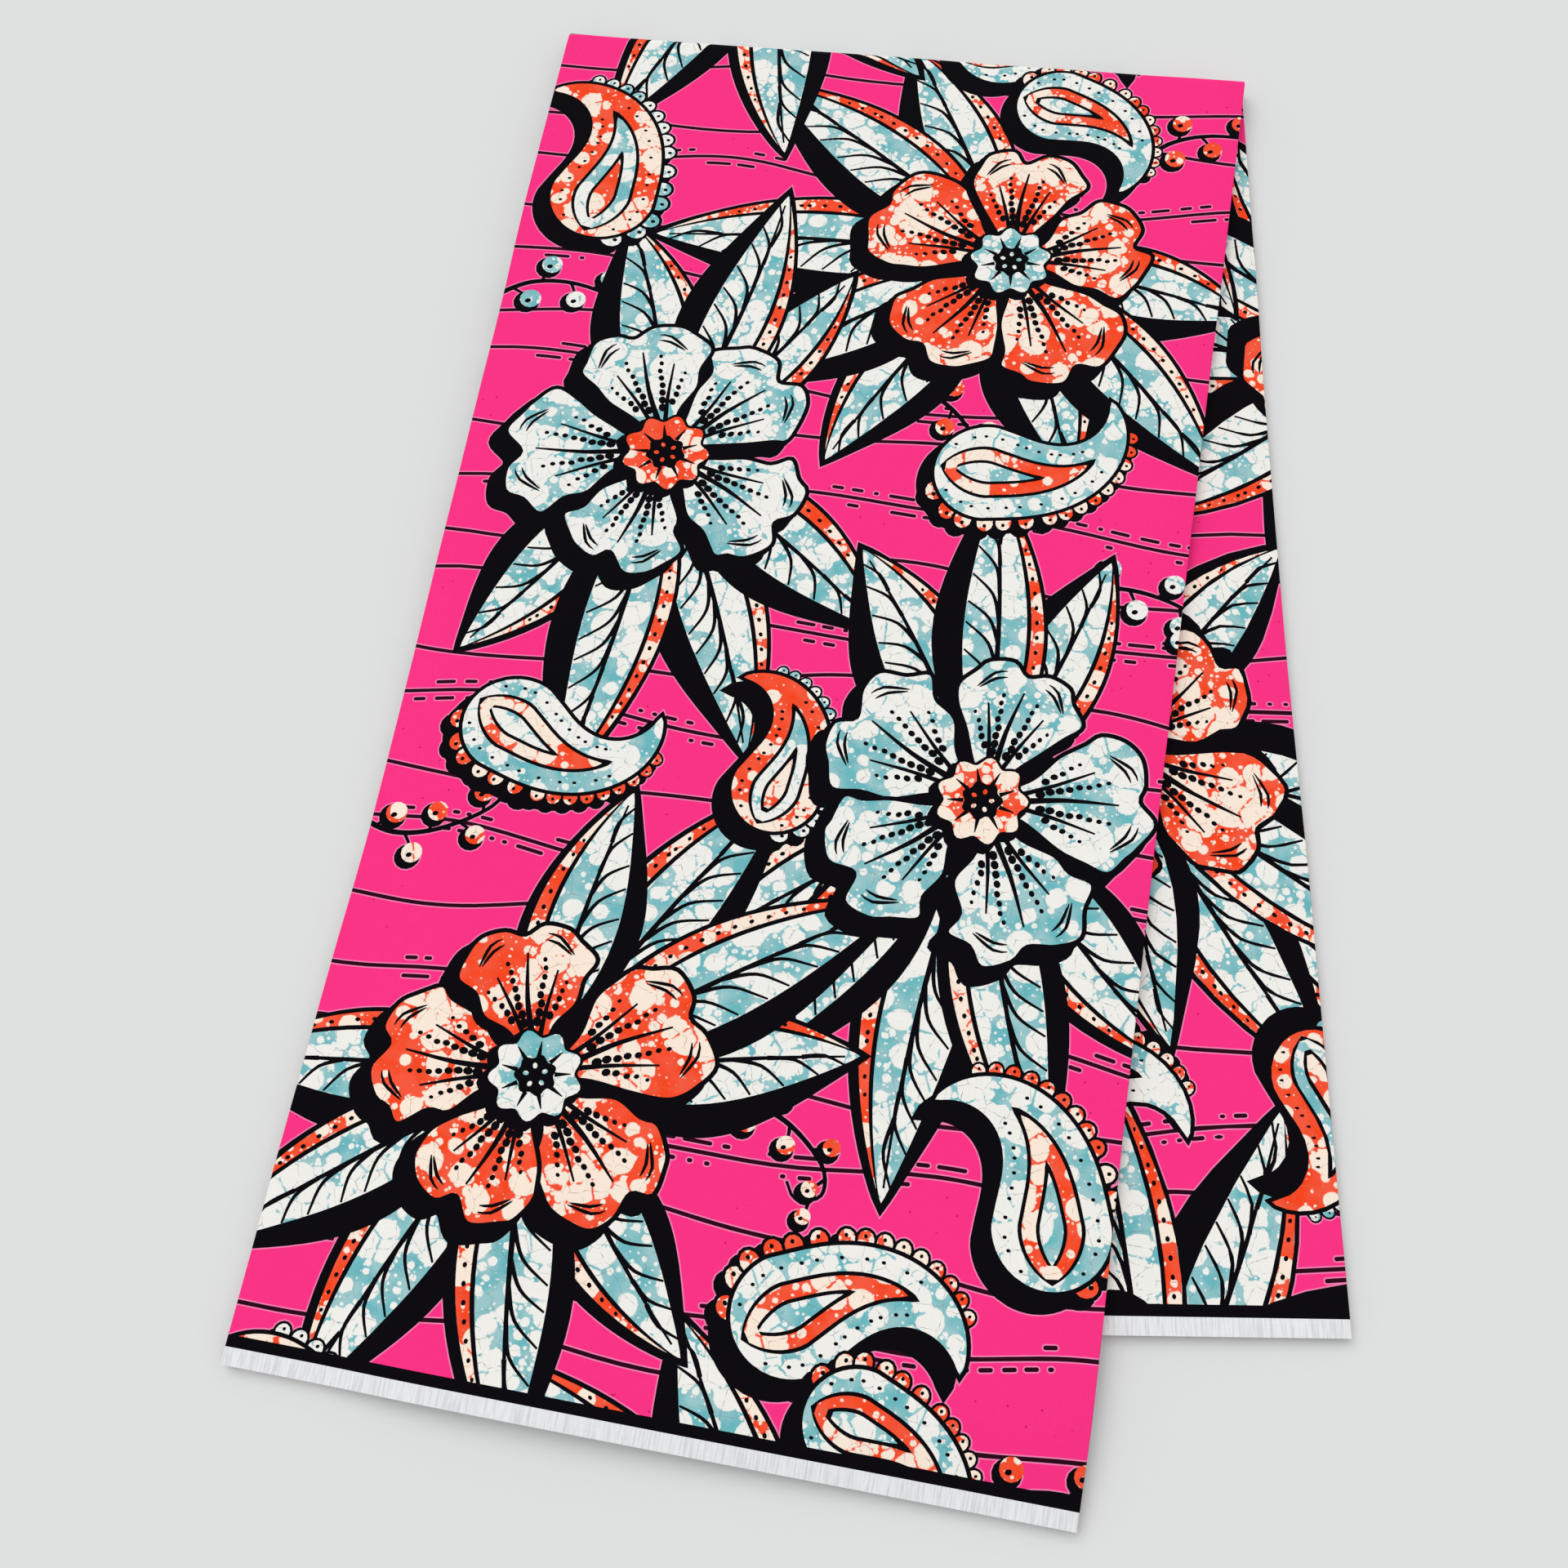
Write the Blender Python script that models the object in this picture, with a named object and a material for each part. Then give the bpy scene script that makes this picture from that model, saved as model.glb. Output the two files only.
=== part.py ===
"""A length of printed cotton, pleated lengthwise into a strip and folded over once.

The cloth is pleated into one-foot panels that lie on each other, which gives a strip as long
as the cloth is wide, from selvedge to selvedge. The strip is then folded over at a crease that
is a little off square. So the lower half, the back pack, swings out from under the upper
half, the front pack, and shows as a wedge at the right.

Three solids share the pile. The front leaf is the outermost leaf: it covers the front, goes
round the fold and is the underside of the back pack. The back leaf is the innermost one: its
free side shows beside the front pack, and it goes through the fold to the front pack's
underside. The hidden leaves between them are one solid, layered at its edges.

Metres, +Z up. +X runs across the front pack and +Y along it to the fold. The origin is at the
middle of the bounding box, on the surface that the cloth rests on.
"""

import math
from typing import Callable, NamedTuple

import bmesh
import bpy
from mathutils import Vector

# The cloth, as it is cut
CLOTH_WIDTH = 1.168  # selvedge to selvedge, 46 inches
PANEL_WIDTH = 0.305  # one pleat, a foot
PANELS = 18  # six yards in one-foot pleats
PLY = 0.00028  # one leaf of the cloth as it lies in the pile

# The fold
FRONT_LENGTH = 0.6115  # right side of the front pack, from the fold's axis to the selvedge
CREASE_ANGLE = math.radians(4.63)  # how far the crease is off square; the back turns by twice this
PACK_GAP = 0.0003  # between the two packs, and between the solids of one pack

# The solids of one pack
LEAF_WALL = 0.001  # the thinnest wall that a visible leaf may have
PACK = PANELS * PLY
HIDDEN_TOP = LEAF_WALL + PACK_GAP
HIDDEN_BOTTOM = PACK - LEAF_WALL - PACK_GAP
BEADS = (PANELS - 2) // 2  # the hidden leaves' folded edges, one for each pair of leaves
GROOVE = 0.0003  # how far the grooves between them go in
STAGGER = 0.0006  # how far one folded edge may lie behind another
STAGGER_TURN = 2.4  # radians of the wave that sets it, from one edge to the next
LEAF_ROUND = 0.0003  # how far a leaf's rim is rounded back

# How the front pack hangs over the edge of the back pack
DRAPE_START = 0.024  # beyond the back pack's edge, before the front pack begins to sink
DRAPE_RUN = 0.045  # distance over which it reaches the surface

# The mesh
ACROSS = 16  # cells across a panel
FRONT_CELLS = 24
FOLD_CELLS = 8
BACK_CELLS = 12
CUT_DISTANCE = 1e-7  # points this close to a cut lie on it
RIM_DISTANCE = 1e-6  # points this close to the block's side are its rim
LIES_FLAT = 0.9  # least upright part of the normal of a cell that lies along the cloth
SMOOTH_ANGLE = math.radians(40)

# The finish: matt cotton
ROUGHNESS = 0.85
FRONT_PINK = (0.80, 0.05, 0.22)
BACK_PINK = (0.72, 0.04, 0.20)
EDGE_WHITE = (0.82, 0.80, 0.78)

FOLD_RADIUS = PACK + PACK_GAP / 2
QUARTER = math.pi * FOLD_RADIUS / 2
FOLD_ROW = QUARTER / math.cos(CREASE_ANGLE)
FRONT_END = -(FRONT_LENGTH + FOLD_ROW)
BACK_END = CLOTH_WIDTH + FRONT_END

ALONG_CREASE = Vector((math.cos(CREASE_ANGLE), math.sin(CREASE_ANGLE)))
ACROSS_CREASE = Vector((-math.sin(CREASE_ANGLE), math.cos(CREASE_ANGLE)))


class SideRow(NamedTuple):
    """How far the pack's sides stand out from straight, at one distance from the fold."""

    from_fold: float
    front_left: float
    front_right: float
    back_right: float


SIDES = (
    SideRow(0.00, 0.0018, 0.0018, 0.0008),
    SideRow(0.09, 0.0016, 0.0015, 0.0001),
    SideRow(0.17, 0.0000, 0.0007, -0.0009),
    SideRow(0.27, -0.0008, 0.0002, -0.0012),
    SideRow(0.40, -0.0014, -0.0003, 0.0002),
    SideRow(0.48, 0.0002, -0.0002, 0.0006),
    SideRow(0.56, 0.0010, 0.0002, 0.0012),
    SideRow(0.63, 0.0015, 0.0001, 0.0012),
)


def smooth(t: float) -> float:
    """Smooth step from 0 to 1."""
    t = min(max(t, 0.0), 1.0)
    return t * t * (3 - 2 * t)


def side_offset(from_fold: float, column: str) -> float:
    """One column of SIDES, read smoothly between its rows."""
    for low, high in zip(SIDES, SIDES[1:]):
        if from_fold <= high.from_fold:
            t = smooth((from_fold - low.from_fold) / (high.from_fold - low.from_fold))
            return getattr(low, column) * (1 - t) + getattr(high, column) * t
    return getattr(SIDES[-1], column)


def waisted(u: float, row: float) -> float:
    """The place across the strip, moved with the pack's slightly uneven sides."""
    from_fold = abs(row)
    left = side_offset(from_fold, "front_left")
    right = side_offset(from_fold, "front_right" if row < 0 else "back_right")
    share = -u / PANEL_WIDTH
    return u - left * share + right * (1 - share)


def slant(row: float) -> float:
    """How far a row leans with the crease: wholly in the fold, and not at all at the selvedges."""
    past_fold = abs(row) - FOLD_ROW
    if past_fold <= 0:
        return math.tan(CREASE_ANGLE)
    reach = (BACK_END if row > 0 else -FRONT_END) - FOLD_ROW
    return math.tan(CREASE_ANGLE) * (1 - past_fold / reach)


def beyond_back_pack(plan: Vector) -> float:
    """How far a place on the surface lies outside the back pack, seen from above."""
    along, off = plan.dot(ALONG_CREASE), -plan.dot(ACROSS_CREASE) + QUARTER
    strip = ALONG_CREASE * along + ACROSS_CREASE * off
    past_left = max(0.0, -PANEL_WIDTH - strip.x)
    past_end = max(0.0, strip.y - BACK_END)
    return math.hypot(past_left, past_end)


def folded(u: float, row: float, depth: float) -> Vector:
    """A point of the unfolded strip in its place in the pile.

    u runs across the strip, from -PANEL_WIDTH to 0. row runs along its right side: the crease
    is at 0, the front pack below it and the back pack above. depth is measured from the
    outermost leaf.
    """
    across = waisted(u, row)
    strip = Vector((across, row + slant(row) * across))
    along, off = strip.dot(ALONG_CREASE), strip.dot(ACROSS_CREASE)
    if abs(row) < FOLD_ROW:
        angle = off / FOLD_RADIUS
        radius = FOLD_RADIUS - depth
        plan = ALONG_CREASE * along + ACROSS_CREASE * radius * math.cos(angle)
        return Vector((*plan, FOLD_RADIUS - radius * math.sin(angle)))
    plan = ALONG_CREASE * along - ACROSS_CREASE * (abs(off) - QUARTER)
    if off > 0:
        return Vector((*plan, depth))
    sunk = smooth((beyond_back_pack(plan) - DRAPE_START) / DRAPE_RUN)
    return Vector((*plan, 2 * FOLD_RADIUS - depth - (PACK + PACK_GAP) * sunk))


def even(first: float, last: float, cells: int) -> list[float]:
    """Evenly spaced stations, both ends included."""
    return [first + (last - first) * i / cells for i in range(cells + 1)]


def stations_along() -> list[float]:
    """Stations along the strip: close together in the fold, wide on the flat packs."""
    front = even(FRONT_END, -FOLD_ROW, FRONT_CELLS)
    fold = even(-FOLD_ROW, FOLD_ROW, FOLD_CELLS)
    back = even(FOLD_ROW, BACK_END, BACK_CELLS)
    return front + fold[1:] + back[1:]


def block(depths: list[float]) -> bmesh.types.BMesh:
    """A box of the unfolded strip, cut into cells at every station and at every depth."""
    low = Vector((-PANEL_WIDTH, FRONT_END, depths[0]))
    high = Vector((0.0, BACK_END, depths[-1]))
    bm = bmesh.new()
    bmesh.ops.create_cube(bm, size=1.0)
    bmesh.ops.scale(bm, vec=high - low, verts=bm.verts)
    bmesh.ops.translate(bm, vec=(low + high) / 2, verts=bm.verts)
    cuts = (even(-PANEL_WIDTH, 0.0, ACROSS), stations_along(), depths)
    for axis, stations in enumerate(cuts):
        normal = Vector((0.0, 0.0, 0.0))
        normal[axis] = 1.0
        for station in stations[1:-1]:
            whole = bm.verts[:] + bm.edges[:] + bm.faces[:]
            place = normal * station
            bmesh.ops.bisect_plane(bm, geom=whole, plane_co=place, plane_no=normal, dist=CUT_DISTANCE)
    split_alike(bm)
    return bm


def split_alike(bm: bmesh.types.BMesh) -> None:
    """Splits every cell that lies along the cloth by the same diagonal, so that solids that
    lie on each other keep their distance where the pile bends."""
    bm.normal_update()
    for face in [face for face in bm.faces if abs(face.normal.z) > LIES_FLAT]:
        corners = sorted(face.verts, key=lambda vert: vert.co.x + vert.co.y)
        bmesh.utils.face_split(face, corners[0], corners[-1])


def leaf_rim(depth: float, depths: list[float]) -> float:
    """How far a single leaf's rim is drawn in at a depth, so that its edge is round."""
    return LEAF_ROUND if depth in (depths[0], depths[-1]) else 0.0


def beaded_rim(depth: float, depths: list[float]) -> float:
    """How far the hidden leaves' rim is drawn in at a depth: grooves part the folded edges,
    and no two neighbouring folds reach equally far."""
    level = depths.index(depth)
    behind = STAGGER * (1 + math.sin(STAGGER_TURN * (level // 2))) / 2
    return behind if level % 2 else STAGGER + GROOVE


def drawn_in(place: float, low: float, high: float, inset: float) -> float:
    """A place along one side of the block, moved inwards if it is on the rim."""
    if abs(place - low) < RIM_DISTANCE:
        return place + inset
    if abs(place - high) < RIM_DISTANCE:
        return place - inset
    return place


def solid(
    name: str,
    depths: list[float],
    rim: Callable[[float, list[float]], float],
    color: tuple[float, float, float],
    collection: bpy.types.Collection,
) -> bpy.types.Object:
    """One solid of the pile, made from the block that its depths give."""
    bm = block(depths)
    for vert in bm.verts:
        depth = min(depths, key=lambda level: abs(level - vert.co.z))
        inset = rim(depth, depths)
        u = drawn_in(vert.co.x, -PANEL_WIDTH, 0.0, inset)
        row = drawn_in(vert.co.y, FRONT_END, BACK_END, inset)
        vert.co = folded(u, row, depth)
    bmesh.ops.reverse_faces(bm, faces=bm.faces)  # depth runs downwards, which mirrors the box
    mesh = bpy.data.meshes.new(name)
    bm.to_mesh(mesh)
    bm.free()
    mesh.materials.append(cotton(name + "_cotton", color))
    mesh.shade_smooth()
    mesh.set_sharp_from_angle(angle=SMOOTH_ANGLE)
    obj = bpy.data.objects.new(name, mesh)
    collection.objects.link(obj)
    return obj


def cotton(name: str, color: tuple[float, float, float]) -> bpy.types.Material:
    """Plain matt cotton in one colour."""
    material = bpy.data.materials.new(name)
    material.use_nodes = True
    shader = material.node_tree.nodes["Principled BSDF"]
    shader.inputs["Base Color"].default_value = (*color, 1.0)
    shader.inputs["Roughness"].default_value = ROUGHNESS
    shader.inputs["Metallic"].default_value = 0.0
    return material


def centre_on_floor(objects: list[bpy.types.Object]) -> None:
    """Moves the meshes so that the origin is at the bottom centre of their bounding box."""
    points = [vert.co for obj in objects for vert in obj.data.vertices]
    low = Vector(min(p[axis] for p in points) for axis in range(3))
    high = Vector(max(p[axis] for p in points) for axis in range(3))
    shift = Vector(((low.x + high.x) / 2, (low.y + high.y) / 2, low.z))
    for obj in objects:
        for vert in obj.data.vertices:
            vert.co -= shift


def main() -> None:
    """Builds the three solids of the pile, from the outermost leaf to the innermost."""
    for obj in list(bpy.data.objects):
        bpy.data.objects.remove(obj)
    collection = bpy.data.collections.new("folded_printed_cotton")
    bpy.context.scene.collection.children.link(collection)

    front = even(0.0, LEAF_WALL, 2)
    hidden = even(HIDDEN_TOP, HIDDEN_BOTTOM, 2 * BEADS)
    back = even(PACK - LEAF_WALL, PACK, 2)
    centre_on_floor(
        [
            solid("front_leaf", front, leaf_rim, FRONT_PINK, collection),
            solid("hidden_leaves", hidden, beaded_rim, EDGE_WHITE, collection),
            solid("back_leaf", back, leaf_rim, BACK_PINK, collection),
        ]
    )


main()
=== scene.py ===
"""A six-yard length of wax-print cotton, pleated and folded over, on a pale studio surface.

The cloth is pleated lengthwise into one-foot panels, which gives a strip as long as the cloth
is wide, and the strip is folded over at a crease that is a little off square. Three pieces dress
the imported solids: the outermost leaf, the innermost leaf, and the edges of the leaves between.

The strip's own places are u across it, from its left side to its right, and row along it, from
the front pack's selvedge to the back pack's. The print is drawn in millimetres on the flat
strip, cut into the leaf's mesh there, and folded with it. Everything else is in metres, +Z up.
"""

import bisect
import logging
import math
import random
from dataclasses import dataclass, field
from enum import Enum
from functools import cached_property, partial
from typing import Any, Callable, NamedTuple, Protocol

import bmesh
import bpy
from mathutils import Matrix, Vector
from mathutils.bvhtree import BVHTree
from mathutils.geometry import delaunay_2d_cdt


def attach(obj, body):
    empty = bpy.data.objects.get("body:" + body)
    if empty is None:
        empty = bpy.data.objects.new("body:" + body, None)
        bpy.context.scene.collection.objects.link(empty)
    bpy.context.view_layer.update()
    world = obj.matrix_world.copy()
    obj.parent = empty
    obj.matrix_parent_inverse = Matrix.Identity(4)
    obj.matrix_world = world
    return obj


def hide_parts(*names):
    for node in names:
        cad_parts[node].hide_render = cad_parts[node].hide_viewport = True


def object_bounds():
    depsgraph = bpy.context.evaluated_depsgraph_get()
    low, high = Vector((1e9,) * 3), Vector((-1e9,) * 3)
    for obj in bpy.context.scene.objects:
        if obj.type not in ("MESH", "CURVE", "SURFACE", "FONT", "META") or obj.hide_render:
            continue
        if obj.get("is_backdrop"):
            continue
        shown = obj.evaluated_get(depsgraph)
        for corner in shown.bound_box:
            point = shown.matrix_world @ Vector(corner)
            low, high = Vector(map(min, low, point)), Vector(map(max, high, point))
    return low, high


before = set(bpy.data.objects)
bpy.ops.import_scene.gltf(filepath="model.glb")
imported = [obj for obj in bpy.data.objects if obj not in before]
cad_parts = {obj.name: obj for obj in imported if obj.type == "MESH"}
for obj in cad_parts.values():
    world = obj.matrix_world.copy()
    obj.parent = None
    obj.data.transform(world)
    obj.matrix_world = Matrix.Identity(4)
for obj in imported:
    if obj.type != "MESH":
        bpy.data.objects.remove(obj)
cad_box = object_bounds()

LOG = logging.getLogger("folded_cotton")

MM = 0.001
BODY = "root"
CLOTH_MAP = "cloth"  # the UV map that the finishes read, in metres on the flat cloth
BAKE_MAP = "OFBake"  # the UV map that lays the cloth out flat for an export
BAKE_SCALE = 1 / 0.645  # the length of one metre of print on that layout
PHASES = (0.0, 6.28)  # a random wave starts anywhere in its turn
BACK_SHIFT = (146.0, 253.0)  # from the front's print to the back's, in millimetres

Point = tuple[float, float]
Outline = list[Point]
Edge = tuple[int, int]
HalfWidth = Callable[[float], float]
Tree = bpy.types.NodeTree
Socket = bpy.types.NodeSocket
Adder = Callable[..., Socket]


def even(first: float, last: float, step: float) -> list[float]:
    """Evenly spaced stations from first to last, both included, about a step apart."""
    cells = max(1, round(abs(last - first) / step))
    return [first + (last - first) * i / cells for i in range(cells + 1)]


def smooth(t: float) -> float:
    """Smooth step from 0 to 1."""
    t = min(max(t, 0.0), 1.0)
    return t * t * (3 - 2 * t)


class SideRow(NamedTuple):
    """How far the pack's sides stand out from straight, at one distance from the fold."""

    from_fold: float
    front_left: float
    front_right: float
    back_right: float


SIDES = (
    SideRow(0.00, 0.0018, 0.0018, 0.0008),
    SideRow(0.09, 0.0016, 0.0015, 0.0001),
    SideRow(0.17, 0.0000, 0.0007, -0.0009),
    SideRow(0.27, -0.0008, 0.0002, -0.0012),
    SideRow(0.40, -0.0014, -0.0003, 0.0002),
    SideRow(0.48, 0.0002, -0.0002, 0.0006),
    SideRow(0.56, 0.0010, 0.0002, 0.0012),
    SideRow(0.63, 0.0015, 0.0001, 0.0012),
)


class Ripple(NamedTuple):
    """One long soft wave of the pile's upper side: its height, and its lengths along x and y."""

    height: float
    along_x: float
    along_y: float
    phase: float


RIPPLES = (
    Ripple(0.00030, 0.170, 0.520, 0.4),
    Ripple(0.00022, -0.310, 0.140, 1.9),
    Ripple(0.00014, 0.083, 0.210, 3.1),
    Ripple(0.00010, -0.060, 0.075, 5.0),
)


@dataclass(frozen=True)
class Pile:
    """The cloth's sizes, and how the unfolded strip lies in the pile.

    The fold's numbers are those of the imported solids, so each piece lies where its solid is.
    """

    cloth_width: float = 1.168
    panel_width: float = 0.305
    panels: int = 18
    ply: float = 0.00028
    selvedge: float = 0.0066
    border: float = 0.0043  # the black between the selvedge and the print
    front_length: float = 0.6115
    crease_angle: float = math.radians(4.63)
    pack_gap: float = 0.0003
    front_left_draw: float = 0.0021  # how far the front's selvedge lies inside the solid's end
    front_right_draw: float = 0.0006
    back_draw: float = 0.0020
    drape_start: float = 0.024  # how far beyond the back pack the front pack begins to sink
    drape_run: float = 0.045
    flat_step: float = 0.024
    drape_step: float = 0.011
    fold_step: float = 0.0011

    @cached_property
    def pack(self) -> float:
        """The thickness of one pack."""
        return self.panels * self.ply

    @cached_property
    def fold_radius(self) -> float:
        """The outermost leaf's radius in the fold."""
        return self.pack + self.pack_gap / 2

    @cached_property
    def quarter(self) -> float:
        """The outermost leaf's length from the crease to where the fold ends."""
        return math.pi * self.fold_radius / 2

    @cached_property
    def fold_row(self) -> float:
        """The row at which the fold ends."""
        return self.quarter / math.cos(self.crease_angle)

    @cached_property
    def front_end(self) -> float:
        """The row of the front pack's selvedge."""
        return -(self.front_length + self.fold_row)

    @cached_property
    def back_end(self) -> float:
        """The row of the back pack's selvedge."""
        return self.cloth_width + self.front_end

    @cached_property
    def along_crease(self) -> Vector:
        """The crease's direction, seen from above."""
        return Vector((math.cos(self.crease_angle), math.sin(self.crease_angle)))

    @cached_property
    def across_crease(self) -> Vector:
        """The direction square to the crease, seen from above."""
        return Vector((-math.sin(self.crease_angle), math.cos(self.crease_angle)))

    @cached_property
    def centre(self) -> Vector:
        """Finds how far the strip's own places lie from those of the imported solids.

        Returns:
            The middle of the strip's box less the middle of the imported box, level with the floor.
        """
        sides = (-self.panel_width, 0.0)
        rows = even(self.front_end, self.back_end, self.quarter / 4)
        rim = [self.level_place(u, row, 0.0) for u in sides for row in rows]
        low, high = cad_box
        x, y = (
            (min(p[axis] for p in rim) + max(p[axis] for p in rim)) / 2 - (low[axis] + high[axis]) / 2
            for axis in range(2)
        )
        return Vector((x, y, 0.0))

    @cached_property
    def rows(self) -> list[float]:
        """Sets the bending stations along the strip.

        Returns:
            The rows, closer where the front pack sinks, and closest in the fold.
        """
        hangs = even(self.front_end, -self.back_end, self.drape_step)
        lies = even(-self.back_end, -self.fold_row, self.flat_step)
        fold = even(-self.fold_row, self.fold_row, self.fold_step)
        return hangs + lies[1:] + fold[1:] + even(self.fold_row, self.back_end, self.flat_step)[1:]

    @cached_property
    def columns(self) -> list[float]:
        """Sets the bending stations across the strip.

        Returns:
            The places across, closer where the front pack's left side sinks.
        """
        swing = self.front_length * math.tan(2 * self.crease_angle)
        hangs = even(-self.panel_width, swing - self.panel_width, self.drape_step)
        return hangs + even(swing - self.panel_width, 0.0, self.flat_step)[1:]

    def side_offset(self, from_fold: float, column: str) -> float:
        """Reads one column of SIDES smoothly between its rows.

        Args:
            from_fold: The distance from the fold.
            column: The column's name.

        Returns:
            How far that side stands out.
        """
        for low, high in zip(SIDES, SIDES[1:]):
            if from_fold <= high.from_fold:
                t = smooth((from_fold - low.from_fold) / (high.from_fold - low.from_fold))
                return getattr(low, column) * (1 - t) + getattr(high, column) * t
        return getattr(SIDES[-1], column)

    def waisted(self, u: float, row: float) -> float:
        """Moves a place across the strip with the pack's slightly uneven sides.

        Args:
            u: The place across the strip.
            row: The place along it.

        Returns:
            The moved place across the strip.
        """
        left = self.side_offset(abs(row), "front_left")
        right = self.side_offset(abs(row), "front_right" if row < 0 else "back_right")
        share = -u / self.panel_width
        return u - left * share + right * (1 - share)

    def towards_end(self, row: float) -> float:
        """The share of the way from the fold to the selvedge, which is 0 all through the fold."""
        reach = (self.back_end if row > 0 else -self.front_end) - self.fold_row
        return max(0.0, abs(row) - self.fold_row) / reach

    def slant(self, row: float) -> float:
        """How far a row leans with the crease: wholly in the fold, not at all at the selvedges."""
        return math.tan(self.crease_angle) * (1 - self.towards_end(row))

    def drawn_in(self, u: float, row: float) -> float:
        """Draws a place back from the strip's ends, which lie a little inside the solids' own.

        Args:
            u: The place across the strip.
            row: The place along it.

        Returns:
            The place along the strip, moved by up to 2 mm at its ends and not at all in the fold.
        """
        if row > 0:
            return row - self.back_draw * self.towards_end(row)
        left = -u / self.panel_width
        draw = self.front_left_draw * left + self.front_right_draw * (1 - left)
        return row + draw * self.towards_end(row)

    def beyond_back_pack(self, plan: Vector) -> float:
        """Measures how far a place on the surface lies outside the back pack.

        Args:
            plan: The place, seen from above.

        Returns:
            The distance, which is 0 on the back pack.
        """
        along = plan.dot(self.along_crease)
        off = self.quarter - plan.dot(self.across_crease)
        strip = self.along_crease * along + self.across_crease * off
        return math.hypot(max(0.0, -self.panel_width - strip.x), max(0.0, strip.y - self.back_end))

    def level_place(self, u: float, row: float, depth: float) -> Vector:
        """Folds a point of the strip into the pile, before the pile's soft waves.

        Args:
            u: The place across the strip, from minus the panel's width to 0.
            row: The place along its right side, with the crease at 0 and the back pack above it.
            depth: The distance from the outermost leaf.

        Returns:
            The point's place in the pile.
        """
        across = self.waisted(u, row)
        strip = Vector((across, row + self.slant(row) * across))
        along, off = strip.dot(self.along_crease), strip.dot(self.across_crease)
        if abs(row) < self.fold_row:
            radius = self.fold_radius - depth
            angle = off / self.fold_radius
            plan = self.along_crease * along + self.across_crease * radius * math.cos(angle)
            return Vector((*plan, self.fold_radius - radius * math.sin(angle)))
        plan = self.along_crease * along - self.across_crease * (abs(off) - self.quarter)
        if off > 0:
            return Vector((*plan, depth))
        sunk = smooth((self.beyond_back_pack(plan) - self.drape_start) / self.drape_run)
        return Vector((*plan, 2 * self.fold_radius - depth - (self.pack + self.pack_gap) * sunk))

    def place(self, u: float, row: float, depth: float) -> Vector:
        """Folds a point of the strip into the pile, soft waves and all.

        The waves grow with the height above the surface, so the underside stays flat.

        Args:
            u: The place across the strip.
            row: The place along it.
            depth: The distance from the outermost leaf.

        Returns:
            The point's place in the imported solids' frame.
        """
        point = self.level_place(u, self.drawn_in(u, row), depth) - self.centre
        lift = 0.0
        for ripple in RIPPLES:
            turns = point.x / ripple.along_x + point.y / ripple.along_y
            lift += ripple.height * math.sin(math.tau * turns + ripple.phase)
        point.z += lift * point.z / (2 * self.fold_radius)
        return point


class Ink(Enum):
    """The print's areas, in the order of the printed leaves' material slots."""

    PINK = 0
    HALO = 1
    BLACK = 2
    OVERPRINT = 3
    AQUA = 4
    ORANGE = 5
    SELVEDGE = 6


class Shape(NamedTuple):
    """One closed area of the print, in millimetres. A halo parts it from the pink ground."""

    ink: Ink
    outline: Outline
    halo: bool = False


class Motif(Protocol):
    """Anything that draws itself as shapes, the lowest first."""

    def shapes(self) -> list[Shape]:
        """The motif's shapes."""


NEAR = 1e-4  # points closer than this are taken as one
SHADOW: Point = (-4.6, -6.4)  # the black that stands below and to the left of each motif
SHADOW_SPREAD = 1.9
LINE = 1.15  # how far the black line round a motif reaches outwards
HALO_WIDTH = 0.5
SHARPEST = 0.40  # keeps a grown outline's corners from running out into spikes
THINNINGS = 3  # how often an outline is gone through for points to drop


def settled(outline: Outline) -> Outline:
    """Turns an outline anticlockwise and starts it at its leftmost point.

    Args:
        outline: The points, in either direction.

    Returns:
        The same points in the settled order.
    """
    pairs = zip(outline, outline[1:] + outline[:1])
    if sum(x0 * y1 - x1 * y0 for (x0, y0), (x1, y1) in pairs) < 0:
        outline = outline[::-1]
    first = outline.index(min(outline))
    return outline[first:] + outline[:first]


def distinct(outline: Outline) -> Outline:
    """Drops the points of a closed outline that repeat the one before."""
    return [point for i, point in enumerate(outline) if math.dist(point, outline[i - 1]) > NEAR]


def opened(outline: Outline) -> Outline:
    """Starts an outline where its inside is sure to be on the left of its first side.

    A thin band drawn in may cross itself near its ends, and its fill begins at the first side. So
    that is the longest of those at the four outermost points, where the turn tells the inside.

    Args:
        outline: The closed outline.

    Returns:
        The same points in that order.
    """
    ring = distinct(outline)
    outer = [pick(range(len(ring)), key=lambda i: ring[i][axis]) for pick in (min, max) for axis in (0, 1)]
    starts = []
    for i in outer:
        (x0, y0), (x1, y1), (x2, y2) = ring[i - 1], ring[i], ring[(i + 1) % len(ring)]
        turned = (x1 - x0) * (y2 - y1) < (x2 - x1) * (y1 - y0)
        first_side = math.dist(ring[i], ring[i - 1] if turned else ring[(i + 1) % len(ring)])
        starts.append((first_side, i, turned))
    _, first, turned = max(starts)
    if turned:
        ring = ring[::-1]
        first = len(ring) - 1 - first
    return ring[first:] + ring[:first]


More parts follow.
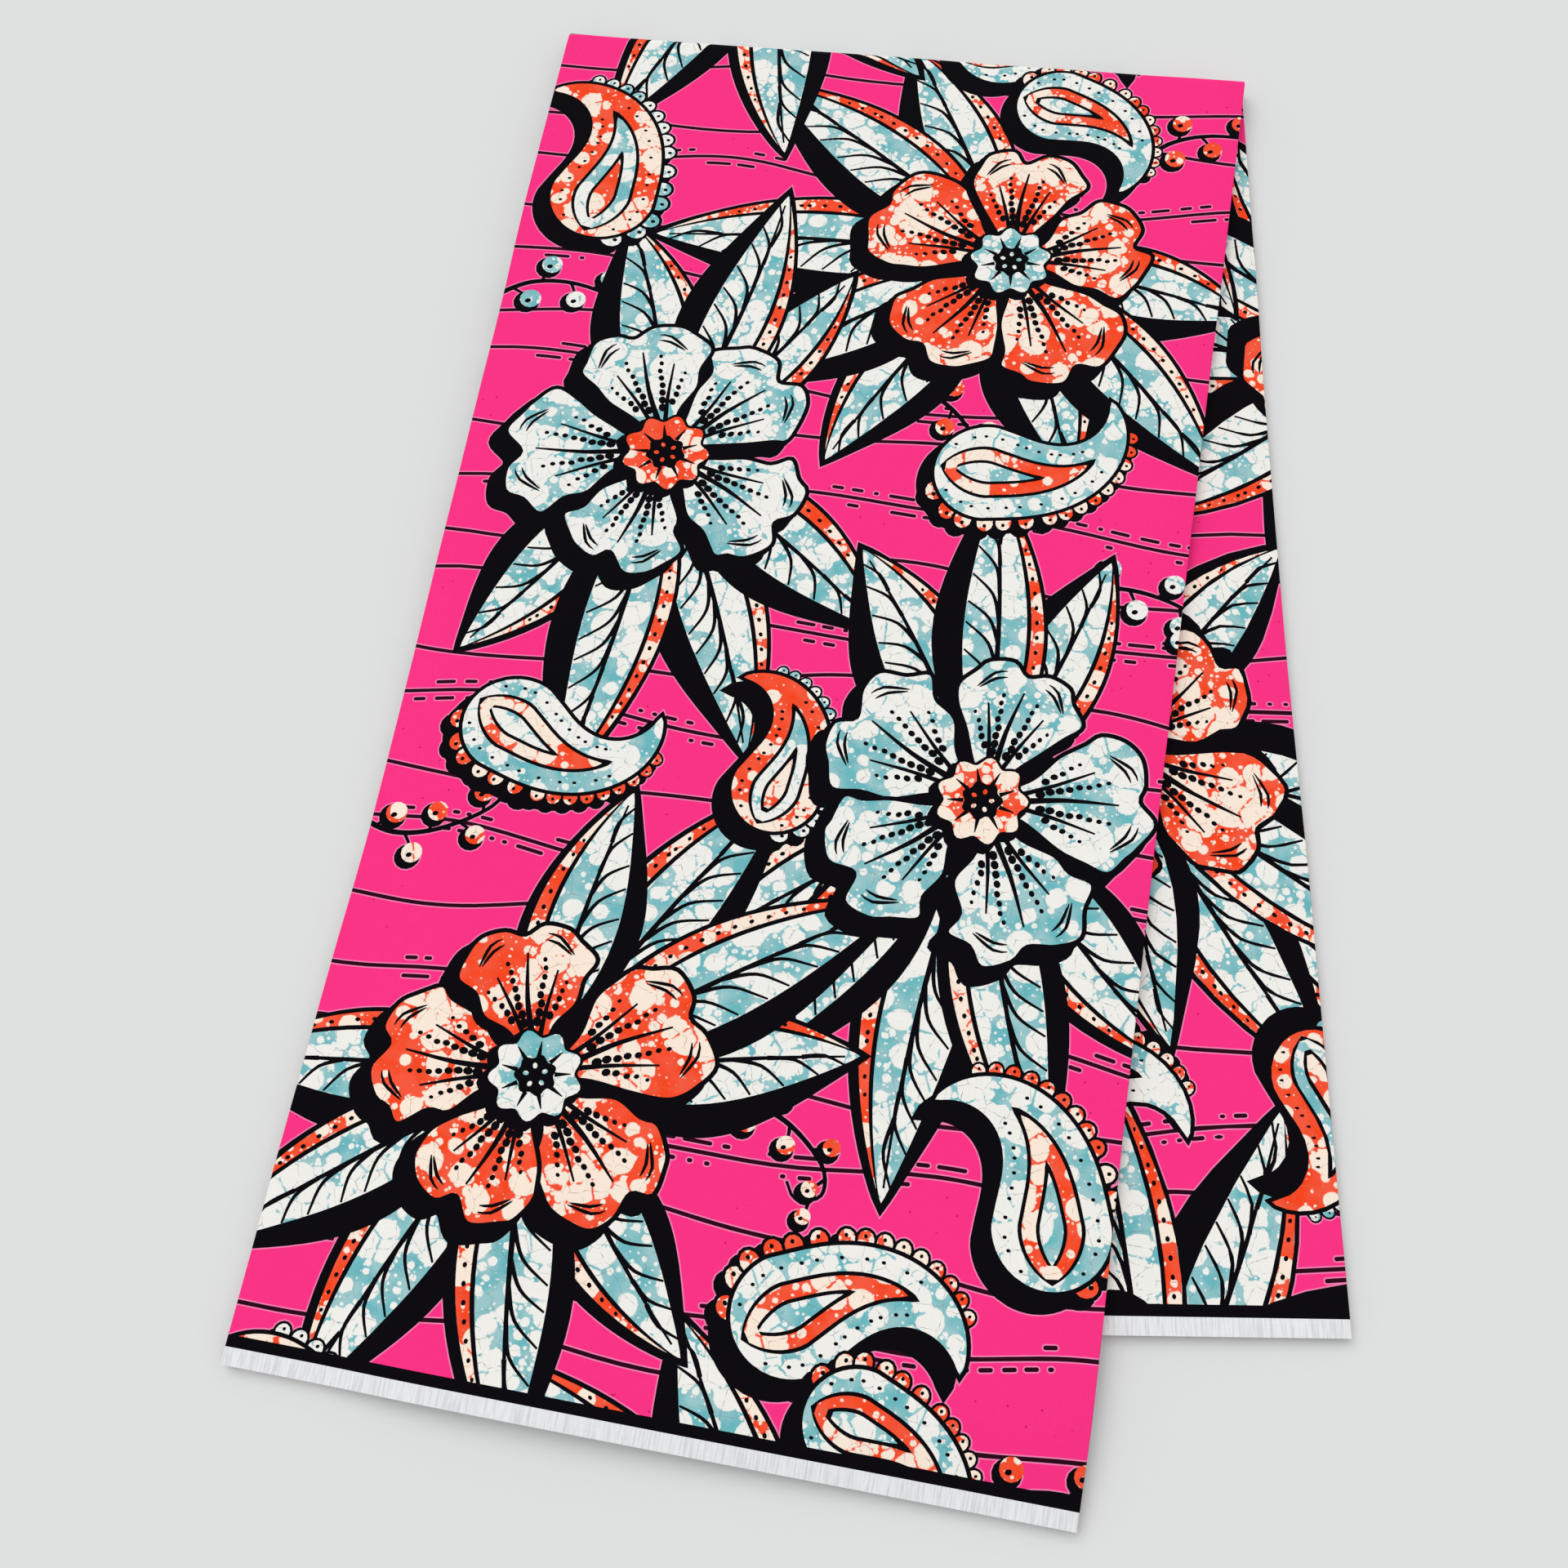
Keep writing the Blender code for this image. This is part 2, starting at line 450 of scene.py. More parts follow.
def thinned(outline: Outline, slack: float) -> Outline:
    """Drops the points that an outline hardly needs.

    Args:
        outline: The closed outline.
        slack: How far a dropped point may lie from the line between its neighbours.

    Returns:
        The outline with fewer points.
    """
    ring = outline
    for _ in range(THINNINGS):
        kept: Outline = []
        for i, (x, y) in enumerate(ring):
            (x0, y0), (x1, y1) = ring[i - 1], ring[(i + 1) % len(ring)]
            long = math.hypot(x1 - x0, y1 - y0) or 1.0
            off = abs((x1 - x0) * (y - y0) - (x - x0) * (y1 - y0)) / long
            dropped_last = bool(kept) and kept[-1] != ring[i - 1]
            if off > slack or dropped_last or i in (0, len(ring) - 1):
                kept.append((x, y))
        ring = kept
    return ring


def moved(outline: Outline, by: Point, share: float = 1.0) -> Outline:
    """Moves an outline by a share of a step."""
    return [(x + by[0] * share, y + by[1] * share) for x, y in outline]


def placed(outline: Outline, at: Point, angle: float, size: float = 1.0) -> Outline:
    """Scales and turns an outline about the origin, in radians, then moves it to a place."""
    c, s = math.cos(angle) * size, math.sin(angle) * size
    return [(at[0] + c * x - s * y, at[1] + s * x + c * y) for x, y in outline]


def grown(outline: Outline, by: float) -> Outline:
    """Moves an outline outwards, or inwards where by is negative.

    Args:
        outline: The closed outline.
        by: The distance.

    Returns:
        The moved outline.
    """
    ring = settled(distinct(outline))
    sides = [(x1 - x0, y1 - y0) for (x0, y0), (x1, y1) in zip(ring, ring[1:] + ring[:1])]
    away = [(y / math.hypot(x, y), -x / math.hypot(x, y)) for x, y in sides]
    out = []
    for i, (x, y) in enumerate(ring):
        both = (away[i - 1][0] + away[i][0], away[i - 1][1] + away[i][1])
        long = math.hypot(*both) or 1.0
        reach = by / max(long / 2, SHARPEST)
        out.append((x + both[0] / long * reach, y + both[1] / long * reach))
    return out


def curved(knots: Outline, step: float, closed: bool = False) -> Outline:
    """Draws a smooth line through knots.

    Args:
        knots: The points that the line passes.
        step: The distance wanted between the line's points.
        closed: True for a ring.

    Returns:
        The line's points.
    """
    count = len(knots)
    line: Outline = []
    for i in range(count if closed else count - 1):
        near = [i - 1, i, i + 1, i + 2]
        near = [k % count if closed else min(max(k, 0), count - 1) for k in near]
        a, b, c, d = (knots[k] for k in near)
        cells = max(1, round(math.dist(b, c) / step))
        for j in range(cells):
            t = j / cells
            line.append(tuple(catmull_rom(*values, t) for values in zip(a, b, c, d)))
    return line if closed else line + [knots[-1]]


def catmull_rom(a: float, b: float, c: float, d: float, t: float) -> float:
    """The smooth curve through b and c, with a and d beside them."""
    return 0.5 * (2 * b + (c - a) * t + (2 * a - 5 * b + 4 * c - d) * t**2 + (3 * b - a - 3 * c + d) * t**3)


def normals_along(line: Outline) -> Outline:
    """The directions that point left of a line at each of its points, of length 1."""
    steps = [(x1 - x0, y1 - y0) for (x0, y0), (x1, y1) in zip(line[:1] + line, line[1:] + line[-1:])]
    return [(-y / (math.hypot(x, y) or 1.0), x / (math.hypot(x, y) or 1.0)) for x, y in steps]


def beside(line: Outline, offsets: list[float]) -> Outline:
    """The line moved to its left, by an offset for each point."""
    return [(x + nx * o, y + ny * o) for (x, y), (nx, ny), o in zip(line, normals_along(line), offsets)]


def both_sides(line: Outline, widths: list[float]) -> Outline:
    """The closed outline of a band along a line, from half its width at each point."""
    return beside(line, widths) + beside(line, [-width for width in widths])[::-1]


def ribbon(line: Outline, half: HalfWidth) -> Outline:
    """The same, from a function that gives half the width at each share of the way."""
    return both_sides(line, [half(i / (len(line) - 1)) for i in range(len(line))])


def tapered(start: float, end: float) -> HalfWidth:
    """A half width that runs evenly from one value to another."""
    return lambda t: start + (end - start) * t


def spindle(width: float) -> HalfWidth:
    """A half width that is full in the middle and fine at both ends."""
    return lambda t: width * max(0.12, math.sin(math.pi * t)) ** 0.6


def rounded(width: float) -> HalfWidth:
    """A half width that is even but for both ends, where it is half as much."""
    return lambda t: width * (0.5 if t in (0.0, 1.0) else 1.0)


def oval(at: Point, across: float, high: float, angle: float = 0.0, corners: int = 9) -> Outline:
    """An oval round a place, from half its width and height, and its turn in radians."""
    turns = [math.tau * i / corners for i in range(corners)]
    return placed([(across * math.cos(a), high * math.sin(a)) for a in turns], at, angle)


def black(outline: Outline, halo: bool = False) -> Shape:
    """A black shape."""
    return Shape(Ink.BLACK, outline, halo)


@dataclass(frozen=True)
class Blossom:
    """A flower of ruffled petals round a ruffled cup, with veins and rows of dots.

    Places are shares of a petal's length or, in the cup, of the radius. Widths are in millimetres.
    """

    x: float
    y: float
    radius: float
    turn: float
    body: Ink
    heart: Ink
    petals: int = 5
    ruffles: int = 9
    seeds: int = 5

    PETAL = (
        (0.10, 0.03), (0.28, 0.15), (0.44, 0.29), (0.59, 0.355),
        (0.71, 0.43), (0.83, 0.37), (0.93, 0.29), (0.985, 0.13),
    )
    NOTCH = 0.90
    UNEVEN = (-0.03, 0.03)
    FULLNESS = (0.90, 1.08)
    LEAN = (-0.06, 0.06)
    LENGTHS = (0.93, 1.06)
    VEINS = (
        (((0.24, 0.0), (0.50, 0.012), (0.80, -0.01)), 1.4),
        (((0.22, 0.04), (0.42, 0.10), (0.66, 0.19)), 1.1),
        (((0.22, -0.04), (0.42, -0.10), (0.66, -0.19)), 1.1),
    )
    # Count, start and run along the petal, start and spread across it, the first dot's half height.
    DOT_ROWS = ((8, 0.34, 0.40, 0.045, 0.072, 1.75), (5, 0.37, 0.20, 0.118, 0.125, 1.5))
    DOT_STRAY = (-0.008, 0.008)
    RIM_STROKES = (
        ((0.745, 0.298), (0.875, 0.218), (0.910, 0.1435)),
        ((0.745, 0.282), (0.835, 0.202), (0.870, 0.1315)),
    )
    CUP_STROKE = ((0.11, 0.0), (0.16, 0.0), (0.205, 0.0))
    RUFFLE = 0.10
    DISC = 0.56
    CUP = 0.25
    EYE = 0.115
    SEED_RING = 0.058

    @property
    def at(self) -> Point:
        """The flower's middle."""
        return (self.x, self.y)

    def petal(self, rng: random.Random) -> Outline:
        """Draws a petal of length 1 along the first axis, notched at its tip and never quite even.

        Args:
            rng: The flower's own random numbers.

        Returns:
            The closed outline.
        """
        upper, lower = (
            [(x + rng.uniform(*self.UNEVEN), y * side * rng.uniform(*self.FULLNESS)) for x, y in self.PETAL]
            for side in (1, -1)
        )
        notch = [(self.NOTCH + rng.uniform(*self.UNEVEN), rng.uniform(*self.UNEVEN))]
        return curved(upper + notch + lower[::-1], 0.033, closed=True)

    def shapes(self) -> list[Shape]:
        """Draws the flower.

        Returns:
            The petals' shadows, every other petal, those between, and the cup.
        """
        rng = random.Random(f"{self.x} {self.y}")
        petals = []
        for k in range(self.petals):
            angle = self.turn + math.tau * k / self.petals + rng.uniform(*self.LEAN)
            size = self.radius * rng.uniform(*self.LENGTHS) * (0.94 if k % 2 else 1.0)
            petals.append((placed(self.petal(rng), self.at, angle, size), angle, size))
        out = [black(moved(grown(petal, SHADOW_SPREAD), SHADOW), True) for petal, _, _ in petals]
        out.append(black(self.ruffled(self.DISC, self.petals)))
        for outline, angle, size in petals[::2] + petals[1::2]:
            out.append(black(moved(grown(outline, LINE), SHADOW, 0.35)))
            out.append(black(grown(outline, LINE), True))
            out.append(Shape(self.body, grown(outline, -LINE * 0.6)))
            out += self.markings(angle, size, rng)
        return out + self.cup()

    def markings(self, angle: float, size: float, rng: random.Random) -> list[Shape]:
        """Draws one petal's veins, dots and rim strokes.

        Args:
            angle: The petal's direction.
            size: The petal's length.
            rng: The flower's own random numbers.

        Returns:
            The black shapes.
        """
        out = []
        for knots, width in self.VEINS:
            line = placed(curved(list(knots), 0.05), self.at, angle, size)
            out.append(black(ribbon(line, tapered(width, 0.38))))
        for side in (-1, 1):
            for count, start, run, near, spread, large in self.DOT_ROWS:
                for i in range(count):
                    t = i / (count - 1)
                    off = side * (near + spread * t + rng.uniform(*self.DOT_STRAY))
                    middle = placed([(start + run * t, off)], self.at, angle, size)[0]
                    dot = large * (1 - 0.5 * t)
                    out.append(black(oval(middle, dot * 1.2, dot, angle, 8)))
            for knots in self.RIM_STROKES:
                line = curved([(x, side * y) for x, y in knots], 0.04)
                out.append(black(ribbon(placed(line, self.at, angle, size), spindle(0.68))))
        return out

    def ruffled(self, share: float, waves: int) -> Outline:
        """Draws a ring with a wavy rim round the flower's middle.

        Args:
            share: Its share of the flower's radius.
            waves: The number of its waves.

        Returns:
            The closed outline.
        """
        turns = [math.tau * i / (8 * waves) for i in range(8 * waves)]
        reach = [share * self.radius * (1 + self.RUFFLE * math.cos(waves * a)) for a in turns]
        return placed([(r * math.cos(a), r * math.sin(a)) for r, a in zip(reach, turns)], self.at, self.turn)

    def cup(self) -> list[Shape]:
        """Draws the ruffled cup.

        Returns:
            The cup with its strokes, black eye and seeds.
        """
        rim = self.ruffled(self.CUP, self.ruffles)
        shadow = moved(grown(rim, SHADOW_SPREAD), SHADOW, 0.4)
        out = [black(shadow), black(grown(rim, LINE)), Shape(self.heart, rim)]
        for i in range(self.ruffles):
            angle = self.turn + math.tau * (i + 0.5) / self.ruffles
            line = placed(list(self.CUP_STROKE), self.at, angle, self.radius)
            out.append(black(ribbon(line, tapered(0.95, 0.2))))
        out.append(black(self.ruffled(self.EYE, 7)))
        for i in range(self.seeds):
            angle = self.turn + math.tau * i / self.seeds
            seed = placed([(self.SEED_RING, 0.0)], self.at, angle, self.radius)[0]
            out.append(Shape(self.heart, oval(seed, 1.15, 0.9, angle, 7)))
        return out


@dataclass(frozen=True)
class Leaf:
    """A long leaf with a dotted band of the other colour down one edge.

    What is drawn on it lies at shares of half its width, positive on its veined side.
    """

    x: float
    y: float
    angle: float
    length: float
    width: float
    bend: float
    hand: int
    body: Ink = Ink.AQUA
    edge: Ink = Ink.ORANGE

    RIB = 0.12
    VEIN_TIPS = 0.93
    BAND = (-0.54, -0.15)  # a share, and how much it grows from the foot to the tip
    DOTS = (-0.77, -0.06)
    CRESCENT = 8.4  # how far the black stands out beside the leaf

    @cached_property
    def halves(self) -> list[tuple[float, float]]:
        """The share of the length and half the leaf's width, at each point of the midline."""
        cells = max(12, round(self.length / 3.2))
        return [(i / cells, self.half(i / cells)) for i in range(cells + 1)]

    @cached_property
    def midline(self) -> Outline:
        """Draws the leaf's bowed middle.

        Returns:
            The points from its foot to its tip.
        """
        bow = self.hand * self.bend * self.length
        line = [(self.length * t, bow * (t * t - 0.35 * t)) for t, _ in self.halves]
        return placed(line, (self.x, self.y), self.angle)

    def half(self, t: float) -> float:
        """Half the leaf's width, at a share of its length."""
        return self.width / 2 * math.sin(math.pi * t**0.82) ** 0.85 if 0 < t < 1 else 0.0

    def off_middle(self, share: float, growth: float = 0.0) -> Outline:
        """The line beside the midline at a share of the half width, which may grow to the tip."""
        return beside(self.midline, [self.hand * half * (share + growth * t) for t, half in self.halves])

    def band(self) -> Outline:
        """Draws the coloured band down the other edge, wherever the leaf is wide enough for it.

        Returns:
            The band's closed outline.
        """
        share, growth = self.BAND
        inner = [half * (share + growth * t) for t, half in self.halves]
        outer = [LINE * 0.5 - half for _, half in self.halves]
        cells = len(inner) - 1
        kept = [i for i in range(cells // 10, cells) if inner[i] - outer[i] > 0.5]
        near, far = (beside(self.midline, [self.hand * off for off in side]) for side in (inner, outer))
        return [near[i] for i in kept] + [far[i] for i in reversed(kept)]

    def crescent(self) -> Outline:
        """Draws the black beyond the veined side, widest at the middle and met at the tip.

        Returns:
            The crescent's closed outline.
        """
        heavy = [self.hand * (half + self.CRESCENT * math.sin(math.pi * t) ** 1.2) for t, half in self.halves]
        drops = [0.4 * (1 - t**3) for t, _ in self.halves]
        sides = (beside(self.midline, heavy), self.off_middle(-1.0))
        far, near = ([moved([place], SHADOW, drop)[0] for place, drop in zip(side, drops)] for side in sides)
        return far + near[-2:0:-1]

    def shapes(self) -> list[Shape]:
        """Draws the leaf.

        Returns:
            Its crescent, body, banded edge, midrib, side veins and dots.
        """
        cells = len(self.halves) - 1
        outline = self.off_middle(1.0) + self.off_middle(-1.0)[-2:0:-1]
        foot = max(1, cells // 10)
        rib, tips = self.off_middle(self.RIB), self.off_middle(self.VEIN_TIPS)
        row = self.off_middle(*self.DOTS)
        out = [
            black(grown(self.crescent(), SHADOW_SPREAD), True),
            black(grown(outline, LINE), True),
            Shape(self.body, grown(outline, -LINE * 0.5)),
            Shape(self.edge, self.band()),
            black(ribbon(self.off_middle(*self.BAND)[foot - 1:], spindle(0.9))),
            black(ribbon(rib[:cells - 1], tapered(1.5, 0.4))),
        ]
        veins = max(4, round(self.length / 15))
        for k in range(veins):
            t = 0.12 + 0.66 * k / (veins - 1)
            start, end = rib[round(t * cells)], tips[min(cells, round((t + 0.17) * cells))]
            long = math.dist(start, end)
            lean = math.atan2(end[1] - start[1], end[0] - start[0])
            sagged = placed([(long / 2, -self.hand * long * 0.13)], start, lean)[0]
            out.append(black(ribbon(curved([start, sagged, end], 2.6), tapered(0.95, 0.42))))
        dots = max(4, round(self.length / 11))
        for k in range(dots):
            t = 0.22 + 0.52 * k / (dots - 1)
            dot = 1.1 * math.sin(math.pi * t) ** 0.7
            out.append(black(oval(row[round(t * cells)], dot, dot * 0.8, self.angle, 7)))
        return out


@dataclass(frozen=True)
class Fan:
    """A spread of leaves behind a blossom, from one direction to another in degrees."""

    blossom: Blossom
    first: float
    last: float
    leaves: int
    length: float
    width: float
    hand: int

    SPLAY = (-4, 4)
    FOOT = 0.25  # where the leaves start, as a share of the blossom's radius
    LENGTHS = (0.95, 1.06)
    WIDTHS = (0.92, 1.08)

    def shapes(self) -> list[Shape]:
        """Draws the spread, with the longest leaves in its middle.

        Returns:
            Every other leaf, then those between.
        """
        rng = random.Random(self.first * 7 + self.length)
        leaves = []
        for k in range(self.leaves):
            share = k / (self.leaves - 1)
            angle = math.radians(self.first + (self.last - self.first) * share + rng.uniform(*self.SPLAY))
            foot = placed([(self.blossom.radius * self.FOOT, 0.0)], self.blossom.at, angle)[0]
            length = self.length * (0.84 + 0.22 * math.sin(math.pi * share)) * rng.uniform(*self.LENGTHS)
            width = self.width * rng.uniform(*self.WIDTHS)
            leaves.append(Leaf(*foot, angle, length, width, 0.13 + 0.05 * share, self.hand))
        return [shape for leaf in leaves[::2] + leaves[1::2] for shape in leaf.shapes()]


@dataclass(frozen=True)
class Paisley:
    """A curled drop with seeded scallops down its outer edge and two drops nested in it."""

    x: float
    y: float
    angle: float
    size: float
    hand: int
    body: Ink
    heart: Ink
    cells: int = 44

    USUAL_SIZE = 72  # a drop of this size begins with scallops of size 1
    HEAD = 0.22  # where the drop is widest, as a share of its length
    ROUND_END = (0.02, 0.1, 0.3, 0.6)  # the stations in the first cell, where the end turns
    SCALLOPED = 0.84  # the share of the length that has scallops
    OUTER_NEST = 0.44  # how far the nested drops are drawn in, as shares of the bulb
    INNER_NEST = 0.74
    DOTS_IN = 0.22

    @property
    def bulb(self) -> float:
        """Half the drop's width where it is widest."""
        return 0.29 * self.size

    def half(self, t: float) -> float:
        """Measures half the drop's width.

        Args:
            t: The share of its length.

        Returns:
            Half the width there.
        """
        if t < self.HEAD:
            return self.bulb * math.sqrt(max(0.0, 1 - (1 - t / self.HEAD) ** 2))
        tail = (t - self.HEAD) / (1 - self.HEAD)
        return self.bulb * (1 - tail) ** 1.05 * (1 + 0.35 * tail)

    @cached_property
    def halves(self) -> list[float]:
        """Half the drop's width at each point of its midline."""
        return [self.half(i / self.cells) for i in range(self.cells + 1)]

    @cached_property
    def midline(self) -> Outline:
        """Draws the drop's curled middle.

        Returns:
            The points from its round end to its tip.
        """
        step = self.size * 1.35 / self.cells
        x = y = 0.0
        line = []
        for i in range(self.cells + 1):
            line.append((x, y))
            heading = self.hand * 3.7 * max(0.0, i / self.cells - 0.28) ** 1.45
            x += math.cos(heading) * step
            y += math.sin(heading) * step
        return placed(line, (self.x, self.y), self.angle)

    def drop(self, inset: float) -> Outline:
        """Draws the drop's outline, drawn in all round.

        Args:
            inset: How far it is drawn in.

        Returns:
            The closed outline.
        """
        (x0, y0), (x1, y1) = self.midline[:2]
        first_cell = [(share, (x0 + (x1 - x0) * share, y0 + (y1 - y0) * share)) for share in self.ROUND_END]
        stations = first_cell + list(enumerate(self.midline))[1:]
        halves = [(self.half(i / self.cells), at) for i, at in stations]
        kept = [(half - inset, at) for half, at in halves if half > inset]
        return both_sides([at for _, at in kept], [width for width, _ in kept[:-1]] + [0.0])

    def scallops(self) -> list[tuple[Point, float, float]]:
        """Sets the scallops down the drop's outer edge, each smaller than the one before.

        Returns:
            For each its middle, the direction that it faces, and its size.
        """
        edge = beside(self.midline, [-self.hand * half for half in self.halves])
        sides = normals_along(self.midline)
        out = []
        travelled, due = 0.0, 2.0
        for i in range(1, self.cells + 1):
            travelled += math.dist(edge[i - 1], edge[i])
            large = (1 - 0.42 * i / self.cells) * self.size / self.USUAL_SIZE
            if travelled >= due and i < self.SCALLOPED * self.cells:
                due = travelled + 7.6 * large
                away = (-self.hand * sides[i][0], -self.hand * sides[i][1])
                middle = moved([edge[i]], away, 2.2 * large)[0]
                out.append((middle, math.atan2(away[1], away[0]), large))
        return out

    def shapes(self) -> list[Shape]:
        """Draws the paisley.

        Returns:
            Its shadow, scallops, body, two nested drops and rows of dots.
        """
        outline, scallops = self.drop(0.02), self.scallops()
        out = [black(moved(grown(outline, SHADOW_SPREAD), SHADOW), True)]
        for at, away, large in scallops:
            out.append(black(moved(oval(at, 5.6 * large, 5.0 * large, away, 14), SHADOW, 0.5), True))
        for at, away, large in scallops:
            seed = placed([(1.6 * large, 0.0)], at, away)[0]
            out.append(black(oval(at, 5.5 * large, 4.9 * large, away, 14), True))
            out.append(Shape(self.heart, oval(at, 4.2 * large, 3.6 * large, away, 12)))
            out.append(black(oval(seed, large, 0.85 * large, away, 7)))
        outer, inner = self.OUTER_NEST * self.bulb, self.INNER_NEST * self.bulb
        out += [
            black(grown(outline, LINE * 1.1), True),
            Shape(self.body, grown(outline, -0.35)),
            black(self.drop(outer)),
            Shape(self.heart, self.drop(outer + 1.5)),
            black(self.drop(inner)),
            Shape(self.body, self.drop(inner + 1.4)),
        ]
        reach = [half - self.DOTS_IN * self.bulb for half in self.halves]
        for side in (-1, 1):
            row = beside(self.midline, [side * width for width in reach])
            for i in [round((0.07 + 0.06 * k) * self.cells) for k in range(11)]:
                if reach[i] > 2.4:
                    out.append(black(oval(row[i], 0.85, 0.7, 0.0, 7)))
        return out


@dataclass(frozen=True)
class Sprig:
    """A curling stem with berries on short stalks."""

    x: float
    y: float
    angle: float
    size: float
    hand: int
    body: Ink

    STEM = (
        (0.0, 0.0), (0.30, 0.10), (0.62, 0.04), (0.92, -0.16), (0.98, -0.36), (0.82, -0.44), (0.72, -0.34),
    )
    USUAL_SIZE = 52
    BERRY = 4.2  # the first berry's radius on a sprig of the usual size
    BERRY_LINE = 0.9  # how far the black round a berry reaches outwards

    def shapes(self) -> list[Shape]:
        """Draws the sprig.

        Returns:
            The stem, then each stalk with its berry, to one side and the other by turns.
        """
        knots = [(x * self.size, y * self.size * self.hand) for x, y in self.STEM]
        stem = placed(curved(knots, 2.4), (self.x, self.y), self.angle)
        out = [black(ribbon(stem, tapered(1.25, 0.55)), True)]
        sides = normals_along(stem)
        berries = max(4, round(self.size / 9))
        for k in range(berries):
            t = 0.14 + 0.70 * k / (berries - 1)
            i = round(t * (len(stem) - 1))
            side = self.hand if k % 2 else -self.hand
            lean = math.atan2(sides[i][1] * side, sides[i][0] * side) - side * 0.5
            reach = self.size * (0.17 - 0.06 * t)
            stalk = placed([(0.0, 0.0), (reach / 2, 0.2), (reach, 0.0)], stem[i], lean)
            radius = self.BERRY * self.size / self.USUAL_SIZE * (1 - 0.3 * t)
            rim = oval(stalk[-1], radius + self.BERRY_LINE, radius + self.BERRY_LINE, 0.0, 14)
            eye = moved([stalk[-1]], (-0.2, -0.25), radius)[0]
            out += [
                black(ribbon(curved(stalk, 3.0), tapered(0.75, 0.5)), True),
                black(moved(rim, SHADOW, 0.3), True),
                Shape(self.body, oval(stalk[-1], radius - 0.15, radius - 0.15, 0.0, 13)),
                black(oval(eye, radius * 0.30, radius * 0.24, 0.4, 7)),
            ]
        return out


class WavyLine(NamedTuple):
    """One line of the ground: its level, the repeat's width, and two waves' heights and phases."""

    level: float
    width: float
    swell: float
    swing: float
    first: float
    second: float

    def height_at(self, x: float) -> float:
        """The line's height at a place across the repeat."""
        swung = self.swing * math.sin(3 * (math.tau * x / self.width) + self.second)
        return self.level + self.swell * math.sin(math.tau * x / self.width + self.first) + swung


@dataclass(frozen=True)
class WavyGround:
    """The thin wavy lines that fill the ground, with dashes beside every other one."""

    width: float
    height: float
    lines: int = 21
    half: float = 0.78
    dash_gap: float = 3.7
    cells: int = 66
    seed: int = 11

    SWELLS = (3.0, 6.5)
    SWINGS = (1.0, 2.4)
    DASH_STARTS = (0, 30)
    DASHES_STOP = 14  # how far before the repeat's end the last dash starts
    DASHES = (2.0, 3.0, 5.0, 5.0, 8.0, 11.0)
    DASH_END = 0.5  # the length over which a dash's ends are rounded
    DRAWN = 0.9  # the share of the dashes that is drawn
    SPACES = (2.6, 3.2, 3.8, 4.4, 26.0)

    def shapes(self) -> list[Shape]:
        """Draws one repeat of the ground.

        Returns:
            The lines, which join up from tile to tile, each with its dashes.
        """
        rng = random.Random(self.seed)
        out = []
        for k in range(self.lines):
            level = self.height * (k + 0.5) / self.lines
            heights = [rng.uniform(*self.SWELLS), rng.uniform(*self.SWINGS)]
            wavy = WavyLine(level, self.width, *heights, rng.uniform(*PHASES), rng.uniform(*PHASES))
            line = [(x, wavy.height_at(x)) for x in even(0.0, self.width, self.width / self.cells)]
            out.append(Shape(Ink.OVERPRINT, ribbon(line, tapered(self.half, self.half)), True))
            for side in (-1, 1) if k % 2 else ():
                x = rng.uniform(*self.DASH_STARTS)
                while x < self.width - self.DASHES_STOP:
                    long = rng.choice(self.DASHES)
                    if rng.random() < self.DRAWN:
                        stations = (x, x + self.DASH_END, x + long / 2, x + long - self.DASH_END, x + long)
                        dash = [(q, wavy.height_at(q) + side * self.dash_gap) for q in stations]
                        out.append(Shape(Ink.OVERPRINT, ribbon(dash, rounded(self.half)), True))
                    x += long + rng.choice(self.SPACES)
        return out


BLOSSOMS = (
    Blossom(214, 497, 63, 0.30, Ink.ORANGE, Ink.AQUA),
    Blossom(84, 384, 66, 0.75, Ink.AQUA, Ink.ORANGE),
    Blossom(236, 246, 66, 0.10, Ink.AQUA, Ink.ORANGE),
    Blossom(88, 112, 64, 0.55, Ink.ORANGE, Ink.AQUA),
)
FANS = (
    Fan(BLOSSOMS[0], 112, 236, 5, 124, 37, 1),
    Fan(BLOSSOMS[0], 296, 352, 3, 110, 35, -1),
    Fan(BLOSSOMS[1], 244, 330, 4, 130, 37, -1),
    Fan(BLOSSOMS[1], 52, 100, 3, 120, 35, 1),
    Fan(BLOSSOMS[2], 66, 118, 3, 122, 36, 1),
    Fan(BLOSSOMS[2], 212, 308, 5, 132, 36, 1),
    Fan(BLOSSOMS[3], 18, 92, 4, 128, 37, -1),
    Fan(BLOSSOMS[3], 180, 300, 5, 122, 35, 1),
)
PAISLEYS = (
    Paisley(28, 490, 1.35, 80, 1, Ink.ORANGE, Ink.AQUA),
    Paisley(150, 222, 1.25, 62, 1, Ink.ORANGE, Ink.AQUA),
    Paisley(196, 392, -0.05, 76, 1, Ink.AQUA, Ink.ORANGE),
    Paisley(30, 262, -0.55, 72, 1, Ink.AQUA, Ink.ORANGE),
    Paisley(178, 30, 0.6, 76, -1, Ink.AQUA, Ink.ORANGE),
    Paisley(286, 66, 1.7, 76, 1, Ink.AQUA, Ink.ORANGE),
    Paisley(206, 586, -0.2, 66, -1, Ink.AQUA, Ink.ORANGE),
)
